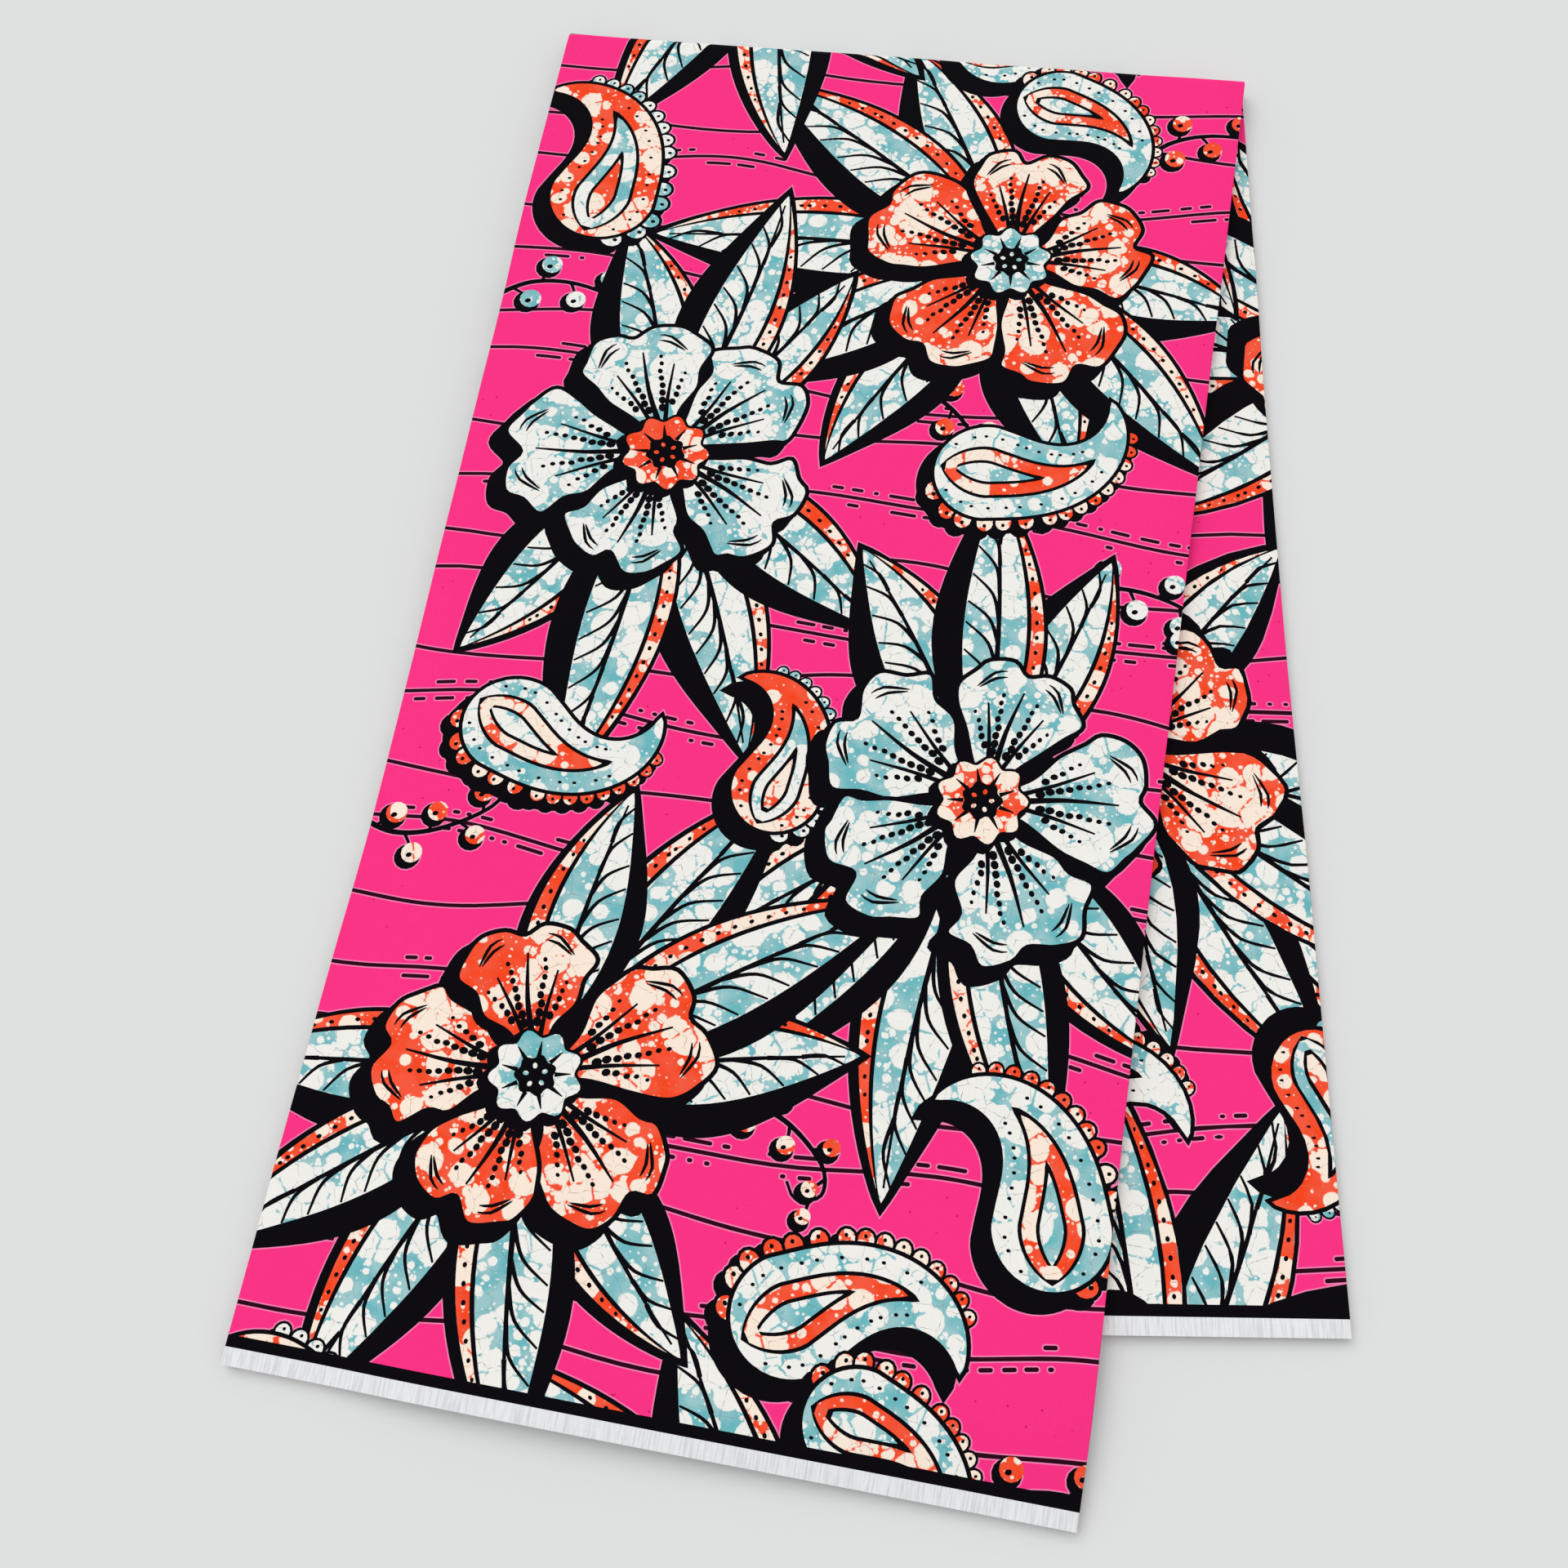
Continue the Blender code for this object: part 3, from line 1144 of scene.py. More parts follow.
SPRIGS = (
    Sprig(-6, 452, 0.25, 62, 1, Ink.AQUA),
    Sprig(262, 552, 0.5, 60, 1, Ink.ORANGE),
    Sprig(168, 428, -0.4, 60, 1, Ink.ORANGE),
    Sprig(248, 330, 0.3, 64, 1, Ink.AQUA),
    Sprig(-8, 206, 0.0, 60, -1, Ink.ORANGE),
    Sprig(152, 112, -0.15, 52, 1, Ink.ORANGE),
)


class Window(NamedTuple):
    """A rectangle of the flat strip, in millimetres."""

    left: float
    low: float
    right: float
    high: float

    def outline(self) -> Outline:
        """Its four corners, anticlockwise."""
        left, low, right, high = self
        return [(left, low), (right, low), (right, high), (left, high)]

    def cuts(self, columns: list[float], rows: list[float]) -> list[tuple[Point, Point]]:
        """The lines up the rectangle at the columns, and those across it at the rows."""
        up = [((x, self.low), (x, self.high)) for x in columns]
        return up + [((self.left, y), (self.right, y)) for y in rows]


@dataclass(frozen=True)
class WaxPrint:
    """The print's repeat, and where it lies on the strip, in millimetres."""

    shift_x: float
    shift_y: float
    slack: float = 0.065  # how far a point that an outline drops may lie off it
    slack_below: float = 0.28  # the same past the crease, where less of the print shows
    repeat_x: float = 330.0
    repeat_y: float = 572.0

    def over(self, window: Window) -> list[Shape]:
        """Draws the print over a window.

        Args:
            window: The part of the strip to cover.

        Returns:
            The shapes from the lowest to the uppermost, with the halos below them all.
        """
        ground = WavyGround(self.repeat_x, self.repeat_y)
        motifs: tuple[Motif, ...] = (ground, *SPRIGS, *FANS, *PAISLEYS, *BLOSSOMS)
        out = []
        for shape in [shape for motif in motifs for shape in motif.shapes()]:
            xs, ys = zip(*moved(shape.outline, (self.shift_x, self.shift_y)))
            for i in self.tiles(window.left, window.right, min(xs), max(xs), self.repeat_x):
                for j in self.tiles(window.low, window.high, min(ys), max(ys), self.repeat_y):
                    step = (self.shift_x + i * self.repeat_x, self.shift_y + j * self.repeat_y)
                    slack = self.slack_below if min(ys) + j * self.repeat_y > 0 else self.slack
                    out.append(Shape(shape.ink, thinned(moved(shape.outline, step), slack), shape.halo))
        halos = [Shape(Ink.HALO, grown(shape.outline, HALO_WIDTH)) for shape in out if shape.halo]
        return halos + out

    def tiles(self, low: float, high: float, first: float, last: float, repeat: float) -> range:
        """The repeats at which a span from first to last falls between low and high."""
        return range(math.ceil((low - last) / repeat), math.floor((high - first) / repeat) + 1)


@dataclass
class Mosaic:
    """A flat sheet of triangles, each of one ink."""

    points: list[Vector]
    triangles: list[tuple[int, ...]]
    inks: list[Ink]

    @classmethod
    def painted(cls, window: Window, shapes: list[Shape]) -> "Mosaic":
        """Cuts a pink window along the outlines of the shapes on it.

        Args:
            window: The sheet.
            shapes: The shapes, of which a later one covers the ones before it.

        Returns:
            The window as a mosaic.
        """
        layers = [Shape(Ink.PINK, window.outline())] + shapes
        points: list[Vector] = []
        faces = []
        for layer in layers:
            outline = opened(layer.outline)
            faces.append(list(range(len(points), len(points) + len(outline))))
            points += [Vector(point) for point in outline]
        points, _, triangles, _, _, sources = delaunay_2d_cdt(points, [], faces, 1, NEAR, True)
        inside = [i for i, found in enumerate(sources) if 0 in found]
        return cls(points, [triangles[i] for i in inside], [layers[max(sources[i])].ink for i in inside])

    def borders(self) -> list[Edge]:
        """Finds the cuts that have to stay.

        Returns:
            The edges between two inks, and those of the sheet's own rim.
        """
        owners: dict[Edge, list[Ink]] = {}
        for triangle, ink in zip(self.triangles, self.inks):
            for a, b in zip(triangle, triangle[1:] + triangle[:1]):
                owners.setdefault((min(a, b), max(a, b)), []).append(ink)
        return [edge for edge, inks in owners.items() if len(inks) == 1 or inks[0] is not inks[1]]

    def recut(self, window: Window, columns: list[float], rows: list[float]) -> "Mosaic":
        """Drops the cuts that no longer part two inks, and adds those where the sheet bends.

        Args:
            window: The sheet.
            columns: The places across the sheet that get a cut from low to high.
            rows: The places along the sheet that get a cut from left to right.

        Returns:
            The new mosaic.
        """
        edges = self.borders()
        used = {index: new for new, index in enumerate(sorted({i for edge in edges for i in edge}))}
        points = [self.points[index] for index in used]
        edges = [(used[a], used[b]) for a, b in edges]
        for start, end in window.cuts(columns, rows):
            edges.append((len(points), len(points) + 1))
            points += [Vector(start), Vector(end)]
        corners = list(range(len(points), len(points) + 4))
        points += [Vector(corner) for corner in window.outline()]
        points, _, triangles, _, _, _ = delaunay_2d_cdt(points, edges, [corners], 1, NEAR, False)
        tree = BVHTree.FromPolygons([point.to_3d() for point in self.points], self.triangles)
        inks = []
        for triangle in triangles:
            middle = sum((points[i] for i in triangle), Vector((0.0, 0.0))) / 3
            found = tree.ray_cast(Vector((*middle, 1.0)), Vector((0.0, 0.0, -1.0)))[2]
            if found is None:
                found = tree.find_nearest(middle.to_3d())[2]
            inks.append(self.inks[found])
        return Mosaic(points, [tuple(triangle) for triangle in triangles], inks)

    def metres(self, corners: tuple[int, ...]) -> list[Point]:
        """Some of the sheet's points, in metres."""
        return [(self.points[i].x * MM, self.points[i].y * MM) for i in corners]


def linear(hex_colour: str) -> tuple[float, float, float, float]:
    """Turns the six digits of an sRGB hex colour to linear light, with an alpha of 1."""
    shares = [int(hex_colour[i:i + 2], 16) / 255 for i in (0, 2, 4)]
    return (*(c / 12.92 if c <= 0.04045 else ((c + 0.055) / 1.055) ** 2.4 for c in shares), 1.0)


def add_node(
    tree: Tree, kind: str, inputs: dict[str | int, Any], output: str | int = 0, **settings: Any
) -> Socket:
    """Adds a node with its settings and links.

    Args:
        tree: The material's node tree.
        kind: The node's type, less the word ShaderNode that it begins with.
        inputs: For each socket its value, or the socket that feeds it.
        output: Which of the node's output sockets is wanted.
        **settings: The values of the node's own properties.

    Returns:
        That output socket.
    """
    node = tree.nodes.new("ShaderNode" + kind)
    for name, value in settings.items():
        setattr(node, name, value)
    for name, value in inputs.items():
        if isinstance(value, Socket):
            tree.links.new(value, node.inputs[name])
        else:
            node.inputs[name].default_value = value
    return node.outputs[output]


@dataclass(frozen=True)
class Cotton:
    """Plain-weave cotton, printed in one flat colour: matt, with a weave that is just felt.

    The threads are 0.3 mm apart, which is less than a pixel, so they are drawn 0.9 mm apart.
    """

    name: str
    colour: str
    # painted light and shade of the weave: the threads' height lightens and darkens the colour by this share
    weave_shade: float = 0.06  # how much the threads lighten and darken the colour
    thread: float = 0.0009
    thread_run: float = 0.007  # the length over which a thread grows thicker and thinner
    thread_height: float = 0.00004
    roughness: float = 0.9
    ior: float = 1.46
    specular: float = 0.06

    def build(self) -> bpy.types.Material:
        """Makes the material.

        Returns:
            The print's colour under the weave's light and shade, with the weave's relief.
        """
        material = bpy.data.materials.new(self.name)
        material.use_nodes = True
        tree = material.node_tree
        add = partial(add_node, tree)
        shader = tree.nodes["Principled BSDF"]
        shader.inputs["Roughness"].default_value = self.roughness
        shader.inputs["IOR"].default_value = self.ior
        shader.inputs["Specular IOR Level"].default_value = self.specular
        place = add("UVMap", {}, uv_map=CLOTH_MAP)
        weave = self.weave(add, place)
        # painted shade: the colour follows the weave's height, lighter on the threads and darker between them
        shade = add("MapRange", {"Value": weave, "To Min": 1 - self.weave_shade, "To Max": 1 + self.weave_shade})
        tint = add("CombineColor", {"Red": shade, "Green": shade, "Blue": shade})
        layers = {"Fac": 1.0, "Color1": self.printed(add, place), "Color2": tint}
        woven = add("MixRGB", layers, blend_type="MULTIPLY")
        relief = add("Bump", {"Height": weave, "Distance": self.thread_height, "Strength": 1.0})
        tree.links.new(woven, shader.inputs["Base Color"])
        tree.links.new(relief, shader.inputs["Normal"])
        return material

    def weave(self, add: Adder, place: Socket) -> Socket:
        """Draws the threads both ways over the cloth, each a little thicker or thinner than the next.

        Args:
            add: Adds a node.
            place: The place on the cloth, in metres.

        Returns:
            The weave's height, from about 0 to 1.
        """
        heights = []
        for across, along in ((self.thread, self.thread_run), (self.thread_run, self.thread)):
            stretched = add("Mapping", {"Vector": place, "Scale": (1 / across, 1 / along, 1.0)})
            heights.append(add("TexNoise", {"Vector": stretched, "Scale": 1.0, "Detail": 1.0}))
        both = add("Math", {0: heights[0], 1: heights[1]}, operation="ADD")
        return add("Math", {0: both, 1: 0.5}, operation="MULTIPLY")

    def printed(self, add: Adder, place: Socket) -> Socket | tuple:
        """The flat colour of the print here."""
        return linear(self.colour)


@dataclass(frozen=True)
class SpeckledCotton(Cotton):
    """Printed cotton with a few stray specks of darker dye, each under a millimetre."""

    speck_colour: str = "B0145A"
    speck_cell: float = 0.011
    speck_reach: float = 0.05  # a speck's radius, as a share of its cell
    speck_strength: float = 0.8
    groups_from: float = 0.53  # the values of the groups' noise between which specks come to show
    groups_full: float = 0.60

    def printed(self, add: Adder, place: Socket) -> Socket:
        """Draws the specks, in loose groups of about four cells.

        Args:
            add: Adds a node.
            place: The place on the cloth, in metres.

        Returns:
            The colour.
        """
        strewn = {"Vector": place, "Scale": 1 / self.speck_cell, "Randomness": 1.0}
        from_middle = add("TexVoronoi", strewn, voronoi_dimensions="2D")
        reach = {"From Min": self.speck_reach * 0.5, "From Max": self.speck_reach}
        strength = {"To Min": self.speck_strength, "To Max": 0.0}
        dots = add("MapRange", {"Value": from_middle, **reach, **strength}, interpolation_type="SMOOTHSTEP")
        groups = add("TexNoise", {"Vector": place, "Scale": 0.25 / self.speck_cell, "Detail": 1.0})
        shown = add("MapRange", {"Value": groups, "From Min": self.groups_from, "From Max": self.groups_full})
        amount = add("Math", {0: dots, 1: shown}, operation="MULTIPLY")
        colours = {"Color1": linear(self.colour), "Color2": linear(self.speck_colour)}
        return add("MixRGB", {"Fac": amount, **colours})


class Bubbles(NamedTuple):
    """One size of the pale bubbles in a wax resist, with their radii as shares of their spacing."""

    spacing: float
    least: float
    most: float
    soft: float


@dataclass(frozen=True)
class WaxResist(Cotton):
    """Cotton dyed through cracked wax: pale bubbles where the wax held, dye in the gaps between.

    To the eye the bubbles are round, of many sizes from 1 mm to 12 mm. In some patches they stand
    apart in the dye, in others they close up. Fine grey cracks run over them, broken into dots.
    """

    pale: str = "EFEEE9"
    crack: str = "7C8480"
    bubbles: tuple[Bubbles, ...] = (
        Bubbles(0.0118, 0.30, 0.60, 0.024),
        Bubbles(0.0056, 0.10, 0.50, 0.040),
        Bubbles(0.0026, -0.10, 0.44, 0.080),
    )
    seam: float = 0.035  # half the least gap between two bubbles, as a share of their spacing
    patch: float = 0.026
    patch_least: float = -0.20  # what is added to the bubbles' radii, from patch to patch
    patch_most: float = 0.20
    ragged: float = 0.0016  # the size of the bumps in a bubble's rim
    ragged_reach: float = 0.0009
    thin_patch: float = 0.009
    thinnest: float = 0.26  # how pale the dye gets in a thin patch
    crack_cell: float = 0.0085
    crack_half: float = 0.020  # half a crack's width, as a share of its cell
    crack_strength: float = 0.75

    NOISE = {"From Min": 0.36, "From Max": 0.64}  # most of a noise texture's values lie between these

    def printed(self, add: Adder, place: Socket) -> Socket:
        """Draws the thinned dye, the bubbles in it and the cracks over them.

        Args:
            add: Adds a node.
            place: The place on the cloth, in metres.

        Returns:
            The colour.
        """
        jitter = add("TexNoise", {"Vector": place, "Scale": 1 / self.ragged, "Detail": 1.0}, "Color")
        centred = add("VectorMath", {0: jitter, 1: (0.5,) * 3}, operation="SUBTRACT")
        shift = {0: centred, 1: (self.ragged_reach,) * 3, 2: place}
        ragged = add("VectorMath", shift, operation="MULTIPLY_ADD")
        patches = self.patches(add, place, self.patch, self.patch_least, self.patch_most)
        held, *others = (self.bubbled(add, ragged, bubbles, patches) for bubbles in self.bubbles)
        for found in others:
            held = add("Math", {0: held, 1: found}, operation="MAXIMUM")
        thinness = self.patches(add, place, self.thin_patch, 0.0, self.thinnest)
        dye = add("MixRGB", {"Fac": thinness, "Color1": linear(self.colour), "Color2": linear(self.pale)})
        dyed = add("MixRGB", {"Fac": held, "Color1": dye, "Color2": linear(self.pale)})
        cracked = self.cracks(add, place, ragged)
        return add("MixRGB", {"Fac": cracked, "Color1": dyed, "Color2": linear(self.crack)})

    def patches(self, add: Adder, place: Socket, size: float, low: float, high: float) -> Socket:
        """Soft patches of a size over the cloth, with values from low to high."""
        noise = add("TexNoise", {"Vector": place, "Scale": 1 / size, "Detail": 1.0})
        return add("MapRange", {"Value": noise, **self.NOISE, "To Min": low, "To Max": high})

    def bubbled(self, add: Adder, place: Socket, bubbles: Bubbles, patches: Socket) -> Socket:
        """Draws the bubbles of one size, each with a radius of its own and a seam of dye round it.

        Args:
            add: Adds a node.
            place: The place on the cloth, in metres.
            bubbles: The bubbles' sizes.
            patches: What is added to their radii, from patch to patch.

        Returns:
            1 inside a bubble, 0 in the dye.
        """
        strewn = {"Vector": place, "Scale": 1 / bubbles.spacing, "Randomness": 1.0}
        from_middle = add("TexVoronoi", strewn, voronoi_dimensions="2D")
        chance = from_middle.node.outputs["Color"]
        radius = add("MapRange", {"Value": chance, "To Min": bubbles.least, "To Max": bubbles.most})
        reach = add("Math", {0: radius, 1: patches}, operation="ADD")
        inside = add("Math", {0: reach, 1: from_middle}, operation="SUBTRACT")
        from_edge = add("TexVoronoi", strewn, feature="DISTANCE_TO_EDGE", voronoi_dimensions="2D")
        within = add("Math", {0: from_edge, 1: self.seam}, operation="SUBTRACT")
        least = add("Math", {0: inside, 1: within}, operation="MINIMUM")
        rim = {"Value": least, "From Min": -bubbles.soft, "From Max": bubbles.soft}
        return add("MapRange", rim, interpolation_type="SMOOTHSTEP")

    def cracks(self, add: Adder, place: Socket, ragged: Socket) -> Socket:
        """Draws the cracks where dye crept under the wax: hair lines, broken into dots.

        Args:
            add: Adds a node.
            place: The place on the cloth, in metres.
            ragged: The same place with its ragged shift.

        Returns:
            How much of the cracks' colour shows.
        """
        strewn = {"Vector": ragged, "Scale": 1 / self.crack_cell, "Randomness": 1.0}
        from_edge = add("TexVoronoi", strewn, feature="DISTANCE_TO_EDGE", voronoi_dimensions="2D")
        reach = {"From Min": self.crack_half * 0.4, "From Max": self.crack_half}
        strength = {"To Min": self.crack_strength, "To Max": 0.0}
        line = add("MapRange", {"Value": from_edge, **reach, **strength}, interpolation_type="SMOOTHSTEP")
        broken = self.patches(add, place, self.crack_cell / 4, 0.0, 1.0)
        return add("Math", {0: line, 1: broken}, operation="MULTIPLY")


@dataclass(frozen=True)
class Selvedge(Cotton):
    """The unprinted woven edge: white, with ribs where the weft turns back, a little bluish and darkened with
    their painted shade.

    The ribs are as far apart as the threads, so they too are drawn coarser.
    """

    shade: str = "C9CCD2"
    rib: float = 0.0007
    rib_run: float = 0.012
    darkest: float = 0.8

    RIBS = {"From Min": 0.42, "From Max": 0.72}  # the values of the noise between which a rib shows

    def printed(self, add: Adder, place: Socket) -> Socket:
        """Draws the ribs, which cross the selvedge.

        Args:
            add: Adds a node.
            place: The place on the cloth, in metres.

        Returns:
            The colour.
        """
        stretched = add("Mapping", {"Vector": place, "Scale": (1 / self.rib, 1 / self.rib_run, 1.0)})
        ribs = add("TexNoise", {"Vector": stretched, "Scale": 1.0, "Detail": 2.0})
        # painted shade: the ribs darken the white towards the bluish grey shade colour
        dark = add("MapRange", {"Value": ribs, **self.RIBS, "To Min": 0.0, "To Max": self.darkest})
        return add("MixRGB", {"Fac": dark, "Color1": linear(self.colour), "Color2": linear(self.shade)})


@dataclass(frozen=True)
class FoldedEdges(Cotton):
    """The print where the hidden leaves turn: short runs of each ink along every folded edge."""

    black: str = "0B0B16"
    aqua: str = "6DB9BF"
    pale: str = "EFECE8"
    orange: str = "F5481F"
    run: float = 0.013

    DYE = {"From Min": 0.52, "From Max": 0.53}  # the noise at which aqua gives way to orange
    PALE_FROM = 0.33  # the noise at which each next ink begins
    AQUA_BLACK_FROM = 0.43
    ORANGE_BLACK_FROM = 0.42
    GROUND_FROM = 0.52

    def printed(self, add: Adder, place: Socket) -> Socket:
        """Draws the runs of ink, different on each leaf.

        Args:
            add: Adds a node.
            place: Metres along the edge, and across the leaves with each pair of leaves far from the next.

        Returns:
            The colour.
        """
        runs = add("TexNoise", {"Vector": place, "Scale": 1 / self.run, "Detail": 1.5})
        which = add("TexNoise", {"Vector": place, "Scale": 0.22 / self.run, "Detail": 0.0})
        inked = []
        for dye, black_from in ((self.aqua, self.AQUA_BLACK_FROM), (self.orange, self.ORANGE_BLACK_FROM)):
            inks = (dye, self.pale, self.black, self.colour)
            ramp = add("ValToRGB", {"Fac": runs})
            ramp.node.color_ramp.interpolation = "CONSTANT"
            elements = ramp.node.color_ramp.elements
            for i, position in enumerate((0.0, self.PALE_FROM, black_from, self.GROUND_FROM)):
                element = elements[i] if i < 2 else elements.new(position)
                element.position = position
                element.color = linear(inks[i])
            inked.append(ramp)
        pick = add("MapRange", {"Value": which, **self.DYE})
        return add("MixRGB", {"Fac": pick, "Color1": inked[0], "Color2": inked[1]})


INK_FINISHES = {
    # The printed ground: one strong, even, matt pink with a few fine specks of darker dye.
    Ink.PINK: SpeckledCotton("pink_ground_printed_cotton", "FA3385"),
    # Ground that took little dye beside each motif: a thin pale line that lifts it off the pink.
    Ink.HALO: Cotton("pale_halo_printed_cotton", "F07FB0"),
    # Cotton dyed black: dark and dull, with the weave's light and shade all but lost in it.
    Ink.BLACK: Cotton("black_printed_cotton", "09070C"),
    # A thin black line over the pink: not quite black, but a very dark red.
    Ink.OVERPRINT: Cotton("dark_line_on_pink_cotton", "2C0618"),
    # Blue-green dye through cracked wax: a cool lace of pale bubbles, the dye thin in places.
    Ink.AQUA: WaxResist("aqua_wax_resist_cotton", "6CB7BE"),
    # Orange dye through cracked wax: strong and warm, with smaller bubbles and more dye in sight.
    Ink.ORANGE: WaxResist(
        "orange_wax_resist_cotton", "F6461F", pale="F9E8D7", crack="B0705C", thinnest=0.05,
        patch_least=-0.29, patch_most=0.11,
    ),
    # Undyed cotton, woven tight at the edge: a clean white strip, barely ribbed, the ribs in faint painted
    # shade.
    Ink.SELVEDGE: Selvedge("white_selvedge_cotton", "E9EAEB"),
}
# Printed cotton seen where it folds: mostly pink, with short breaks of black, pale and dye.
EDGE_FINISH = FoldedEdges("folded_edges_of_printed_cotton", "E8286F")


@dataclass
class Shell:
    """The parts of a mesh as they are gathered: points, faces, and each face's slot and maps."""

    points: list[Vector] = field(default_factory=list)
    normals: list[Vector] = field(default_factory=list)
    faces: list[tuple[int, ...]] = field(default_factory=list)
    slots: list[int] = field(default_factory=list)
    cloth: list[Point] = field(default_factory=list)
    bake: list[Point] = field(default_factory=list)

    def add(
        self, corners: tuple[int, ...], slot: int, cloth: list[Point], bake: list[Point], flip: bool = False
    ) -> None:
        """Adds a face.

        Args:
            corners: Its points, anticlockwise seen from outside.
            slot: Its material slot.
            cloth: For each corner its place on the flat cloth, in metres.
            bake: For each corner its place on the flat layout.
            flip: True to turn the face over.
        """
        step = -1 if flip else 1
        self.faces.append(corners[::step])
        self.slots.append(slot)
        self.cloth += cloth[::step]
        self.bake += bake[::step]

    def build(self, name: str, materials: list[bpy.types.Material]) -> bpy.types.Object:
        """Makes the object.

        Args:
            name: Its name.
            materials: The materials of its slots.

        Returns:
            The object, in the scene.
        """
        mesh = bpy.data.meshes.new(name)
        mesh.from_pydata(self.points, [], self.faces)
        for material in materials:
            mesh.materials.append(material)
        mesh.polygons.foreach_set("material_index", self.slots)
        mesh.polygons.foreach_set("use_smooth", [True] * len(self.faces))
        for map_name, places in ((CLOTH_MAP, self.cloth), (BAKE_MAP, self.bake)):
            layer = mesh.uv_layers.new(name=map_name, do_init=False)
            layer.uv.foreach_set("vector", [value for place in places for value in place])
        mesh.uv_layers.active = mesh.uv_layers[CLOTH_MAP]
        if self.normals:
            mesh.normals_split_custom_set_from_vertices(self.normals)
        obj = bpy.data.objects.new(name, mesh)
        bpy.context.scene.collection.objects.link(obj)
        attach(obj, BODY)
        LOG.info("%s: %d faces", name, len(self.faces))
        return obj


class Block(NamedTuple):
    """One rectangle of the flat layout that an export bakes."""

    left: float
    low: float
    scale_x: float
    scale_y: float

    def at(self, x: float, y: float) -> Point:
        """The layout's place for metres from the block's own corner."""
        return (self.left + x * self.scale_x, self.low + y * self.scale_y)


class Grid(NamedTuple):
    """A sheet's places and normals at its bending stations, in millimetres on the flat sheet."""

    columns: list[float]
    rows: list[float]
    knots: dict[Edge, tuple[Vector, Vector]]

    def at(self, point: Vector) -> tuple[Vector, Vector]:
        """Finds a point of the sheet, which runs straight between its stations.

        Args:
            point: The point on the flat sheet.

        Returns:
            Its place and its normal.
        """
        i, s = self.cell(self.columns, point.x)
        j, t = self.cell(self.rows, point.y)
        corners = [self.knots[knot] for knot in ((i, j), (i + 1, j), (i, j + 1), (i + 1, j + 1))]
        shares = ((1 - s) * (1 - t), s * (1 - t), (1 - s) * t, s * t)
        place = sum((corner[0] * share for corner, share in zip(corners, shares)), Vector())
        normal = sum((corner[1] * share for corner, share in zip(corners, shares)), Vector())
        return place, normal.normalized()

    @staticmethod
    def cell(stations: list[float], value: float) -> tuple[int, float]:
        """The index of the cell that a value lies in, and the share of the way through it."""
        i = min(max(bisect.bisect_right(stations, value) - 1, 0), len(stations) - 2)
        return i, (value - stations[i]) / (stations[i + 1] - stations[i])


